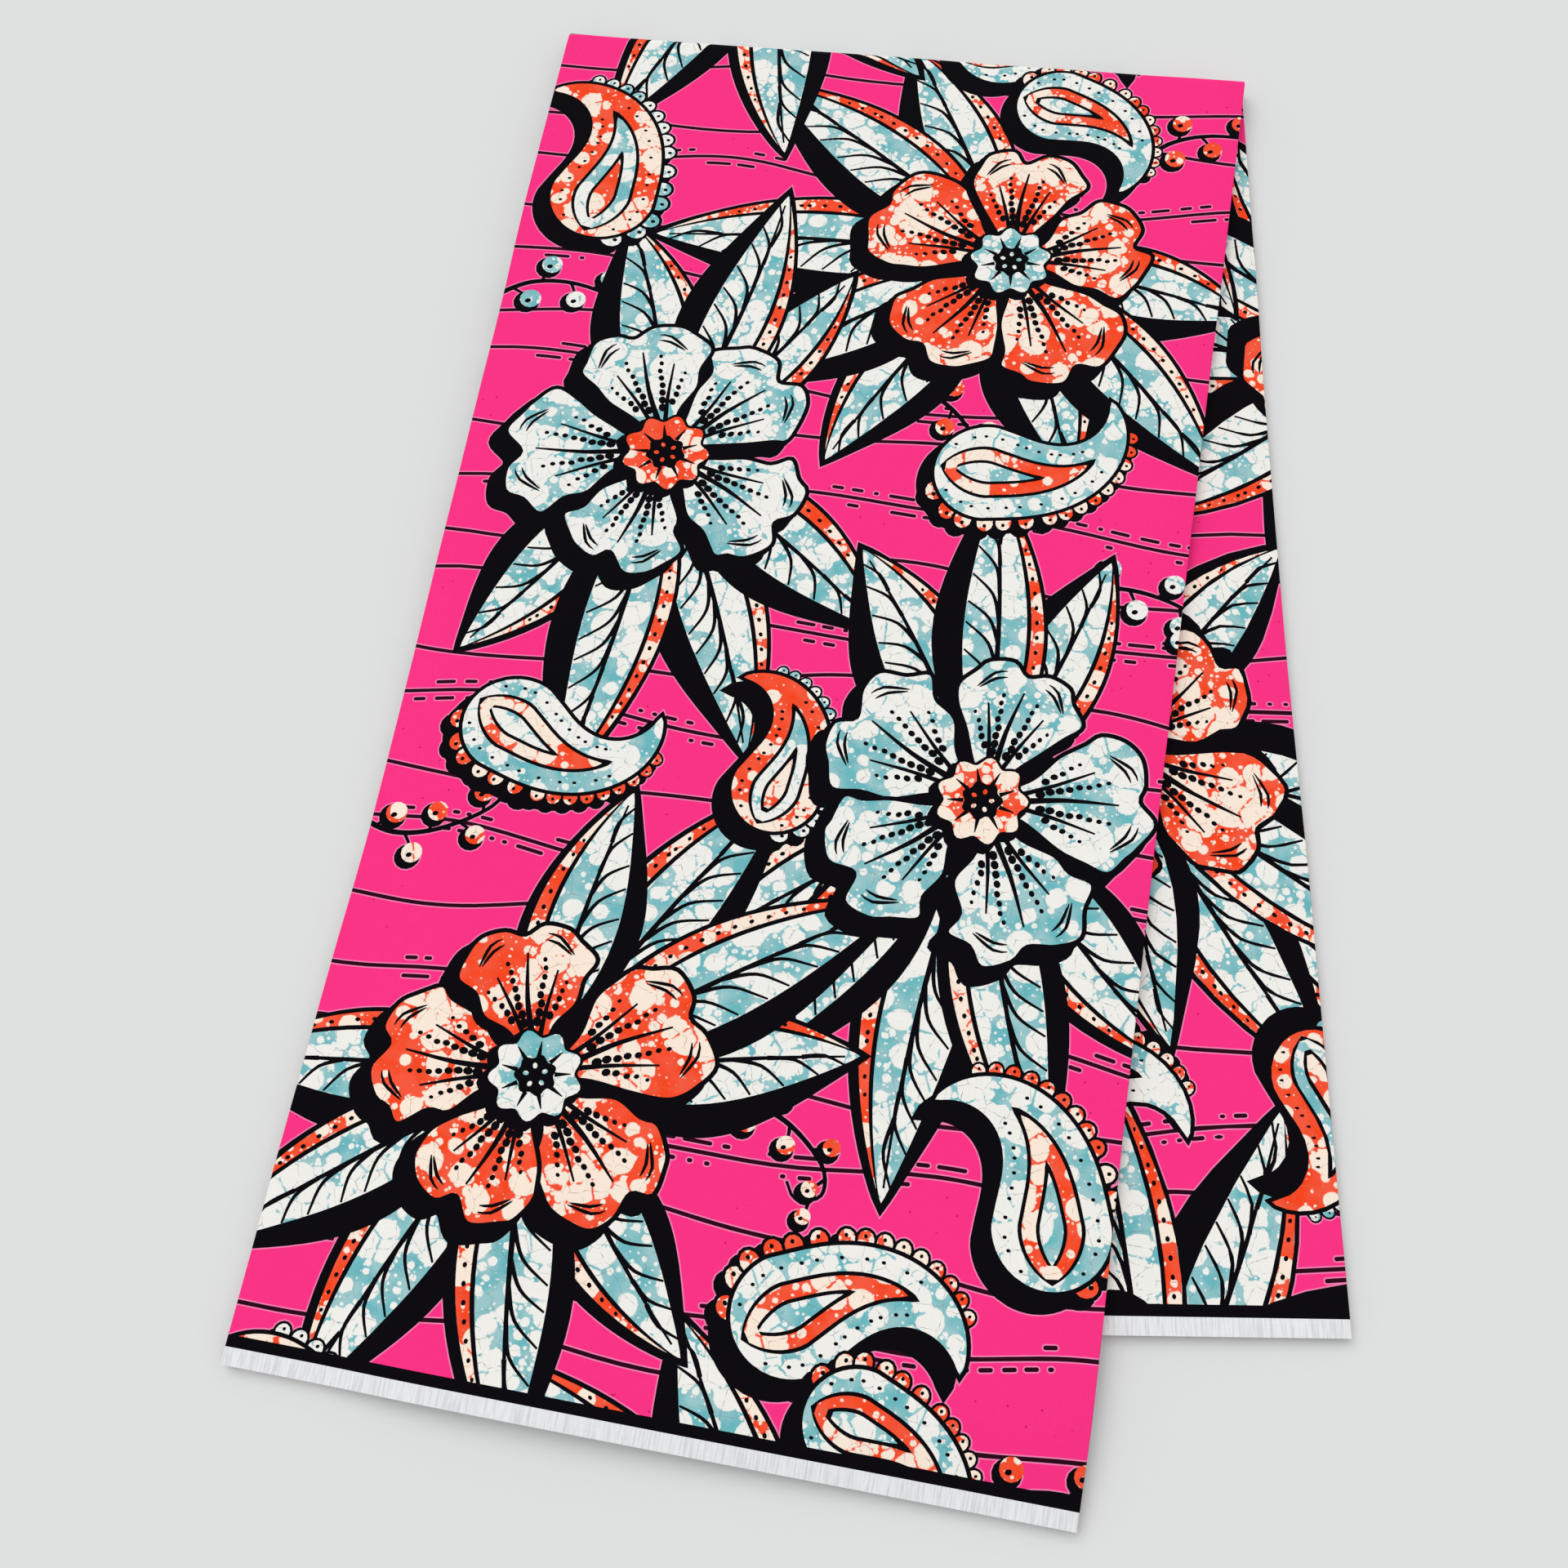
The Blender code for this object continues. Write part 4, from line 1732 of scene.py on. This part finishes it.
@dataclass
class PrintedLeaf:
    """One outer leaf of the pile: a thin closed shell, printed on the side that shows.

    Its sides roll into the pile, because each is a fold to the next leaf, and its ends are the
    selvedges. The side that lies against the pile is plain and coarse.
    """

    name: str
    node: str
    slot: str
    pile: Pile
    wax_print: WaxPrint
    face_depth: float
    inwards: int
    never_seen: tuple[Outline, ...] = ()
    roll: float = 0.00045
    roll_step: float = 0.00018
    probe: float = 0.0001  # the step over which a normal is measured
    bake_rim: float = 0.0015
    front_block: Block = Block(0.01, 0.01, BAKE_SCALE, BAKE_SCALE)
    under_block: Block = Block(0.51, 0.01, BAKE_SCALE, BAKE_SCALE)
    hidden_block: Block = Block(0.51, 0.885, BAKE_SCALE, 0.09 / Pile.cloth_width)  # one plain colour

    def __post_init__(self) -> None:
        """Works out the flat sheet's window, in millimetres."""
        self.quarter = math.pi / 2 * self.roll
        self.spare = self.quarter - self.roll
        self.window = Window(
            (-self.pile.panel_width - self.spare) / MM,
            self.pile.front_end / MM,
            self.spare / MM,
            self.pile.back_end / MM,
        )

    @cached_property
    def columns(self) -> list[float]:
        """Sets the bending stations across the sheet.

        Returns:
            The places in millimetres, closest where the sides roll.
        """
        roll = even(0.0, self.quarter / MM, self.roll_step / MM)[1:]
        left = [self.window.left + x for x in roll]
        right = [self.window.right - x for x in roll[::-1]]
        return left + [u / MM for u in self.pile.columns[1:-1]] + right

    @cached_property
    def rows(self) -> list[float]:
        """The bending stations along the sheet, in millimetres."""
        return [row / MM for row in self.pile.rows[1:-1]]

    def rolled(self, u: float, row: float, through: float) -> Vector:
        """Places a point of the flat sheet in the pile.

        Args:
            u: The place across the sheet, whose rims go beyond the strip by the roll's spare length.
            row: The place along it.
            through: The distance below the printed side.

        Returns:
            The point's place.
        """
        from_left, from_right = u + self.pile.panel_width + self.spare, self.spare - u
        angle = max(0.0, (self.quarter - min(from_left, from_right)) / self.roll)
        radius = self.roll - through
        sink = self.roll - radius * math.cos(angle)
        if angle > 0:
            inset = self.roll - radius * math.sin(angle)
            u = inset - self.pile.panel_width if from_left < from_right else -inset
        return self.pile.place(u, row, self.face_depth + self.inwards * sink)

    def normal(self, u: float, row: float, through: float) -> Vector:
        """Finds the direction square to the cloth.

        Args:
            u: The place across the sheet.
            row: The place along it.
            through: The distance below the printed side.

        Returns:
            The direction out of the printed side, of length 1.
        """
        step = self.probe
        across = self.rolled(u + step, row, through) - self.rolled(u - step, row, through)
        along = self.rolled(u, row + step, through) - self.rolled(u, row - step, through)
        return across.cross(along).normalized() * self.inwards

    def bent(self, through: float) -> Grid:
        """Bends the sheet at its stations.

        Args:
            through: The distance below the printed side.

        Returns:
            The places and normals there.
        """
        columns = [self.window.left] + self.columns + [self.window.right]
        rows = [self.window.low] + self.rows + [self.window.high]
        knots = {}
        for i, x in enumerate(columns):
            for j, y in enumerate(rows):
                flat = (x * MM, y * MM, through)
                knots[i, j] = (self.rolled(*flat), self.normal(*flat))
        return Grid(columns, rows, knots)

    def mosaic(self) -> Mosaic:
        """Draws the flat sheet: the print, with a black border and a white selvedge at both ends.

        Returns:
            The sheet, cut where it bends.
        """
        shapes = self.wax_print.over(self.window)
        shapes += [Shape(Ink.PINK, outline) for outline in self.never_seen]
        selvedge, border = self.pile.selvedge / MM, self.pile.border / MM
        for ink, depth in ((Ink.BLACK, selvedge + border), (Ink.SELVEDGE, selvedge)):
            shapes.append(Shape(ink, self.window._replace(high=self.window.low + depth).outline()))
            shapes.append(Shape(ink, self.window._replace(low=self.window.high - depth).outline()))
        return Mosaic.painted(self.window, shapes).recut(self.window, self.columns, self.rows)

    def laid_out(self, flat: list[Point], hidden: bool = False) -> list[Point]:
        """Lays the corners of one face out for an export.

        Args:
            flat: Their places on the flat sheet, in metres.
            hidden: True on the side that lies against the pile.

        Returns:
            Their places in the block of the hidden side, the underside or the front.
        """
        past_fold = sum(row for _, row in flat) / len(flat) > self.pile.fold_row
        block = self.under_block if past_fold else self.front_block
        start = self.pile.fold_row if past_fold else self.pile.front_end
        if hidden:
            block, start = self.hidden_block, self.pile.front_end
        return [block.at(u + self.pile.panel_width + self.spare, row - start) for u, row in flat]

    def outwards(self, place: Vector) -> Point:
        """The way out of the sheet at a point of its rim, as a step of 1 across and along it."""
        window, near = self.window, 10 * NEAR
        return (
            (place.x > window.right - near) - (place.x < window.left + near),
            (place.y > window.high - near) - (place.y < window.low + near),
        )

    def build(self, materials: list[bpy.types.Material]) -> bpy.types.Object:
        """Makes the leaf.

        Args:
            materials: The inks' materials, in their order.

        Returns:
            The finished piece.
        """
        mosaic = self.mosaic()
        rim = self.rim(mosaic)
        lining, twins = self.lining(mosaic, [a for a, _, _ in rim])
        shell = Shell()
        for points, through in ((mosaic.points, 0.0), (lining.points, self.pile.ply)):
            grid = self.bent(through)
            for point in points:
                place, normal = grid.at(point)
                shell.points.append(place)
                shell.normals.append(-normal if through else normal)
        flip, first = self.inwards < 0, len(mosaic.points)
        for triangle, ink in zip(mosaic.triangles, mosaic.inks):
            flat = mosaic.metres(triangle)
            shell.add(triangle, ink.value, flat, self.laid_out(flat), flip)
        for triangle in lining.triangles:
            flat = lining.metres(triangle)
            corners = tuple(i + first for i in triangle)
            shell.add(corners, Ink.PINK.value, flat, self.laid_out(flat, hidden=True), not flip)
        for a, b, ink in rim:
            flat, steps = mosaic.metres((b, a)), [self.outwards(mosaic.points[i]) for i in (b, a)]
            bake = self.laid_out(flat)
            cloth_out = [moved([place], step, self.pile.ply)[0] for place, step in zip(flat, steps)]
            bake_out = [moved([place], step, self.bake_rim)[0] for place, step in zip(bake, steps)]
            corners = (b, a, twins[a] + first, twins[b] + first)
            shell.add(corners, ink.value, flat + cloth_out[::-1], bake + bake_out[::-1], flip)
        obj = shell.build(self.name, materials)
        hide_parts(self.node)
        return obj

    def rim(self, mosaic: Mosaic) -> list[tuple[int, int, Ink]]:
        """Follows the sheet's rim once round.

        Args:
            mosaic: The printed sheet.

        Returns:
            Each edge of the rim in turn, anticlockwise, with its ink.
        """
        owners: dict[Edge, Ink] = {}
        for triangle, ink in zip(mosaic.triangles, mosaic.inks):
            for a, b in zip(triangle, triangle[1:] + triangle[:1]):
                if owners.pop((b, a), None) is None:
                    owners[(a, b)] = ink
        following = {a: (b, ink) for (a, b), ink in owners.items()}
        start = here = min(following)
        out = []
        while not out or here != start:
            there, ink = following[here]
            out.append((here, there, ink))
            here = there
        return out

    def lining(self, mosaic: Mosaic, loop: list[int]) -> tuple[Mosaic, dict[int, int]]:
        """Makes the coarse sheet for the leaf's hidden side, with the printed sheet's own rim.

        Args:
            mosaic: The printed sheet.
            loop: The printed sheet's rim points, in turn.

        Returns:
            The hidden sheet, and for each rim point of the printed one its twin in the hidden one.
        """
        points = [mosaic.points[i] for i in loop]
        edges = []
        for start, end in self.window.cuts(self.columns, self.rows):
            edges.append((len(points), len(points) + 1))
            points += [Vector(start), Vector(end)]
        face = list(range(len(loop)))
        made, _, triangles, sources, _, _ = delaunay_2d_cdt(points, edges, [face], 1, NEAR, True)
        twins = {loop[i]: new for new, found in enumerate(sources) for i in found if i < len(loop)}
        inks = [Ink.PINK] * len(triangles)
        return Mosaic(made, [tuple(triangle) for triangle in triangles], inks), twins


class Wander(NamedTuple):
    """How one edge lies behind the rest: its own share, and the wave that it wanders in."""

    share: float
    phase: float
    turns: float  # in radians per metre

    def at(self, along: float) -> float:
        """How far back the edge lies, from 0 to 1."""
        return 0.6 * self.share + 0.2 * (1 + math.sin(self.phase + self.turns * along))


class Level(NamedTuple):
    """One level of the hidden solid: its pair of leaves, its share of their thickness, its leaf."""

    depth: float
    pair: int
    share: float
    leaf: int


def bulge(share: float) -> float:
    """How far a round fold stands out, from 0 at both its sides to 1 at half its thickness."""
    return math.sqrt(max(0.0, 1 - (2 * share - 1) ** 2))


@dataclass
class LayerEdges:
    """The leaves between the two outer ones: one solid, layered at its edges.

    Down each side every pair of leaves shows one rounded fold, and at the ends every leaf shows
    its own selvedge. No fold reaches quite as far as the next.
    """

    pile: Pile
    name: str = "layer_edges"
    node: str = "hidden_leaves"
    slot: str = "cotton_edges"
    levels_in_pair: int = 10
    edge_level: float = 0.1  # how far inside a pair its first and last levels lie, in levels
    cover: float = 0.00002
    tuck: float = 0.00012
    cap_sink: float = 0.0004
    side_stagger: float = 0.0006
    end_stagger: float = 0.0011
    groove: float = 0.0003
    seed: int = 5
    side_turns: tuple[float, float] = (7, 15)
    end_turns: tuple[float, float] = (9, 22)
    pair_gap: float = 0.31  # between two pairs on the cloth's map, so that their runs differ
    side_gap: float = 7.0  # between the left side and the right on it

    BAKE_LEFT = 0.01
    BAKE_WIDTH = 0.98
    END_BANDS = (0.02, 0.16)  # the low sides of the layout's bands: front end, back end
    SIDE_BANDS = (0.60, 0.30)  # left, right
    CAP_BANDS = (0.88, 0.94)  # upper, lower
    END_HEIGHT = 0.12
    SIDE_HEIGHT = 0.26
    CAP_HEIGHT = 0.05

    def __post_init__(self) -> None:
        """Works out the folds' thickness and levels, and draws how far each lies behind the rest."""
        self.pairs = (self.pile.panels - 2) // 2
        self.first = self.pile.ply + self.cover
        self.thickness = (self.pile.pack - 2 * self.first) / self.pairs
        rng = random.Random(self.seed)
        self.side_back = [self.wander(rng, self.side_turns) for _ in range(2 * self.pairs)]
        self.end_back = [self.wander(rng, self.end_turns) for _ in range(4 * self.pairs)]
        last = self.levels_in_pair - 1
        shares = [level / last for level in (self.edge_level, *range(1, last), last - self.edge_level)]
        self.levels = [
            Level(self.first + (pair + share) * self.thickness, pair, share, 2 * pair + int(share >= 0.5))
            for pair in range(self.pairs)
            for share in shares
        ]
        self.shell = Shell()
        self.made: dict[tuple[int, int, int], int] = {}

    def wander(self, rng: random.Random, turns: tuple[float, float]) -> Wander:
        """Draws how one edge lies behind the rest."""
        return Wander(rng.random(), rng.uniform(*PHASES), rng.uniform(*turns))

    def side_inset(self, right: bool, row: float, level: Level) -> float:
        """How far the left or right side lies in from the strip's own, at a row and a level."""
        hollow = (self.thickness / 2 + self.groove) * (1 - bulge(level.share))
        return self.tuck + self.side_stagger * self.side_back[2 * level.pair + right].at(row) + hollow

    def end_inset(self, back: bool, u: float, level: Level) -> float:
        """How far the front or back selvedges lie in from the strip's end, at a place and a level."""
        hollow = (self.thickness / 4 + self.groove) * (1 - bulge(2 * level.share - level.leaf % 2))
        return self.tuck + self.end_stagger * self.end_back[2 * level.leaf + back].at(u) + hollow

    def point(self, i: int, j: int, number: int) -> int:
        """Makes a point of the solid, or finds it again.

        Args:
            i: The station across the strip.
            j: The station along it.
            number: The level's number.

        Returns:
            The point's index in the mesh.
        """
        if (i, j, number) not in self.made:
            us, rows, level = self.pile.columns, self.pile.rows, self.levels[number]
            u, row, depth = us[i], rows[j], level.depth
            at_side, at_end = i in (0, len(us) - 1), j in (0, len(rows) - 1)
            if at_side:
                inset = self.side_inset(i > 0, row, level)
                u += inset if i == 0 else -inset
            if at_end:
                inset = self.end_inset(j > 0, us[i], level)
                row += inset if j == 0 else -inset
            if not (at_side or at_end):
                depth += self.cap_sink if number == 0 else -self.cap_sink
            self.made[i, j, number] = len(self.shell.points)
            self.shell.points.append(self.pile.place(u, row, depth))
        return self.made[i, j, number]

    def add_wall(self, here: Edge, there: Edge) -> None:
        """Adds the faces between two neighbouring stations of the rim, from top to bottom.

        Args:
            here: The first station, across and along.
            there: The next one round the rim.
        """
        (i, j), (i2, j2) = here, there
        at_end = j == j2
        us, rows = self.pile.columns, self.pile.rows
        run = (us[i], us[i2]) if at_end else (rows[j], rows[j2])
        start = -self.pile.panel_width if at_end else self.pile.front_end
        low = self.END_BANDS[j > 0] if at_end else self.SIDE_BANDS[i > 0]
        high = (self.END_HEIGHT if at_end else self.SIDE_HEIGHT) / len(self.levels)
        block = Block(self.BAKE_LEFT, low, self.BAKE_WIDTH / self.pile.cloth_width, high)
        for level in range(len(self.levels) - 1):
            corners = [(i, j, level), (i, j, level + 1), (i2, j2, level + 1), (i2, j2, level)]
            cloth, bake = [], []
            for along, (_, _, number) in zip((run[0], run[0], run[1], run[1]), corners):
                depth, pair, _, _ = self.levels[number]
                cloth.append((along, depth + pair * self.pair_gap + (self.side_gap if i else 0.0)))
                bake.append(block.at(along - start, number))
            self.shell.add(tuple(self.point(*corner) for corner in corners), int(at_end), cloth, bake)

    def add_cap(self, number: int, low: float) -> None:
        """Adds the faces of the solid's upper or lower side.

        Args:
            number: The number of its level.
            low: The low side of its band on the layout.
        """
        us, rows = self.pile.columns, self.pile.rows
        width, height = self.pile.cloth_width, self.pile.panel_width
        block = Block(self.BAKE_LEFT, low, self.BAKE_WIDTH / width, self.CAP_HEIGHT / height)
        for i in range(len(us) - 1):
            for j in range(len(rows) - 1):
                corners = [(i, j), (i + 1, j), (i + 1, j + 1), (i, j + 1)]
                flat = [(us[a], rows[b]) for a, b in corners]
                bake = [block.at(row - self.pile.front_end, u + height) for u, row in flat]
                faces = tuple(self.point(a, b, number) for a, b in corners)
                self.shell.add(faces, 0, flat, bake, number > 0)

    def build(self, materials: list[bpy.types.Material]) -> bpy.types.Object:
        """Makes the solid.

        Args:
            materials: The material of the folded edges and that of the selvedges.

        Returns:
            The finished piece.
        """
        last_u, last_row = len(self.pile.columns) - 1, len(self.pile.rows) - 1
        ring = [(i, 0) for i in range(last_u)] + [(last_u, j) for j in range(last_row)]
        ring += [(i, last_row) for i in range(last_u, 0, -1)] + [(0, j) for j in range(last_row, 0, -1)]
        for here, there in zip(ring, ring[1:] + ring[:1]):
            self.add_wall(here, there)
        for number, low in zip((0, len(self.levels) - 1), self.CAP_BANDS):
            self.add_cap(number, low)
        obj = self.shell.build(self.name, materials)
        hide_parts(self.node)
        return obj


@dataclass(frozen=True)
class Studio:
    """The pale surface, the soft light and the camera at the photograph's angle."""

    surface_size: float = 12.0
    surface_colour: str = "E0E3E2"
    surface_roughness: float = 0.9
    surface_specular: float = 0.1
    surface_tooth: float = 0.004
    surface_dip: float = 0.985  # how dark the tooth gets
    air_strength: float = 0.62
    light_from: tuple[float, float, float] = (-0.45, 0.40, 1.0)
    light_spread: float = math.radians(50)
    light_strength: float = 1.38
    camera_place: tuple[float, float, float] = (0.0, -0.2530, 0.6214)
    camera_aim: tuple[float, float, float] = (-0.0381, -0.0567, 0.0)
    camera_roll: float = math.radians(-1.01)
    lens_mm: float = 37.58

    def surface(self) -> bpy.types.Object:
        """Makes the surface.

        Returns:
            A plain plane of matt painted board: pale and even to the eye, but for a fine tooth.
        """
        material = bpy.data.materials.new("matt_painted_board")
        material.use_nodes = True
        tree = material.node_tree
        shader = tree.nodes["Principled BSDF"]
        shader.inputs["Roughness"].default_value = self.surface_roughness
        shader.inputs["Specular IOR Level"].default_value = self.surface_specular
        add = partial(add_node, tree)
        place = add("TexCoord", {}, "Object")
        tooth = add("TexNoise", {"Vector": place, "Scale": 1 / self.surface_tooth, "Detail": 2.0})
        colour = linear(self.surface_colour)
        dark = [c * self.surface_dip for c in colour[:3]] + [1.0]
        tint = add("MixRGB", {"Fac": tooth, "Color1": colour, "Color2": dark})
        tree.links.new(tint, shader.inputs["Base Color"])
        mesh = bpy.data.meshes.new("pale_surface")
        bm = bmesh.new()
        bmesh.ops.create_grid(bm, x_segments=1, y_segments=1, size=self.surface_size / 2)
        bm.to_mesh(mesh)
        bm.free()
        mesh.materials.append(material)
        obj = bpy.data.objects.new("pale_surface", mesh)
        bpy.context.scene.collection.objects.link(obj)
        obj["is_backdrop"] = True
        return obj

    def lights(self) -> None:
        """Lights the cloth by one far, broad soft box from above left, and the air evenly."""
        data = bpy.data.lights.new("far_soft_box", "SUN")
        data.angle = self.light_spread
        data.energy = self.light_strength
        obj = bpy.data.objects.new("far_soft_box", data)
        obj.location = self.light_from
        obj.rotation_mode = "QUATERNION"
        obj.rotation_quaternion = (-Vector(self.light_from)).to_track_quat("-Z", "Y")
        bpy.context.scene.collection.objects.link(obj)
        world = bpy.data.worlds.new("even_air")
        world.use_nodes = True
        background = world.node_tree.nodes["Background"]
        background.inputs["Color"].default_value = linear("FFFFFF")
        background.inputs["Strength"].default_value = self.air_strength
        bpy.context.scene.world = world

    def camera(self) -> None:
        """Sets the camera above the cloth's lower half, looking down and a little to the left."""
        data = bpy.data.cameras.new("camera")
        data.lens = self.lens_mm
        data.clip_start = 0.01
        camera = bpy.data.objects.new("camera", data)
        place = Vector(self.camera_place)
        back = (place - Vector(self.camera_aim)).normalized()
        right = Vector((0.0, 0.0, 1.0)).cross(back).normalized()
        facing = Matrix((right, back.cross(right), back)).transposed()
        turn = facing @ Matrix.Rotation(self.camera_roll, 3, "Z")
        camera.matrix_world = Matrix.Translation(place) @ turn.to_4x4()
        bpy.context.scene.collection.objects.link(camera)
        bpy.context.scene.camera = camera

    def build(self) -> None:
        """Sets up the surface, the light, the camera and a view transform that keeps the dyes' colours."""
        self.surface()
        self.lights()
        self.camera()
        bpy.context.scene.view_settings.view_transform = "Standard"


def hidden_between(pile: Pile) -> tuple[Outline, Outline]:
    """Finds the parts of the innermost leaf that lie between the two packs, in millimetres.

    Args:
        pile: The pile.

    Returns:
        The part on the back pack and the part on the front pack.
    """
    margin = 14.0  # how far the print goes on under the other pack
    beyond = 1.0  # how far the parts go beyond the sheet, to be sure to cover it
    left, high = -pile.panel_width / MM - beyond, pile.back_end / MM
    spread = math.tan(2 * pile.crease_angle)
    top = high + beyond
    on_back = [(left, 0.0), (-margin, 0.0), (-margin - high * spread, top), (left, top)]
    end = -high + margin
    on_front = [(left + margin, 0.0), (left + margin - end * spread, end), (beyond, end), (beyond, 0.0)]
    return on_back, on_front


def main() -> None:
    """Builds the cloth from its outermost leaf inwards, then the studio."""
    logging.basicConfig(level=logging.INFO, format="%(name)s: %(message)s")
    pile = Pile()
    inks = [INK_FINISHES[ink].build() for ink in Ink]
    left = -pile.panel_width / MM
    print_start = (pile.front_end + pile.selvedge + pile.border) / MM
    PrintedLeaf(
        "front_cloth", "front_leaf", "printed_cotton", pile,
        WaxPrint(left, print_start), face_depth=0.0, inwards=1,
    ).build(inks)
    LayerEdges(pile).build([EDGE_FINISH.build(), inks[Ink.SELVEDGE.value]])
    PrintedLeaf(
        "back_cloth", "back_leaf", "printed_cotton_back", pile,
        WaxPrint(left + BACK_SHIFT[0], print_start + BACK_SHIFT[1]), face_depth=pile.pack, inwards=-1,
        never_seen=hidden_between(pile),
    ).build(inks)
    Studio().build()
    boxes = {"cad": cad_box, "visual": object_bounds()}
    {name: [list(corner) for corner in box] for name, box in boxes.items()}


if __name__ == "__main__":
    main()
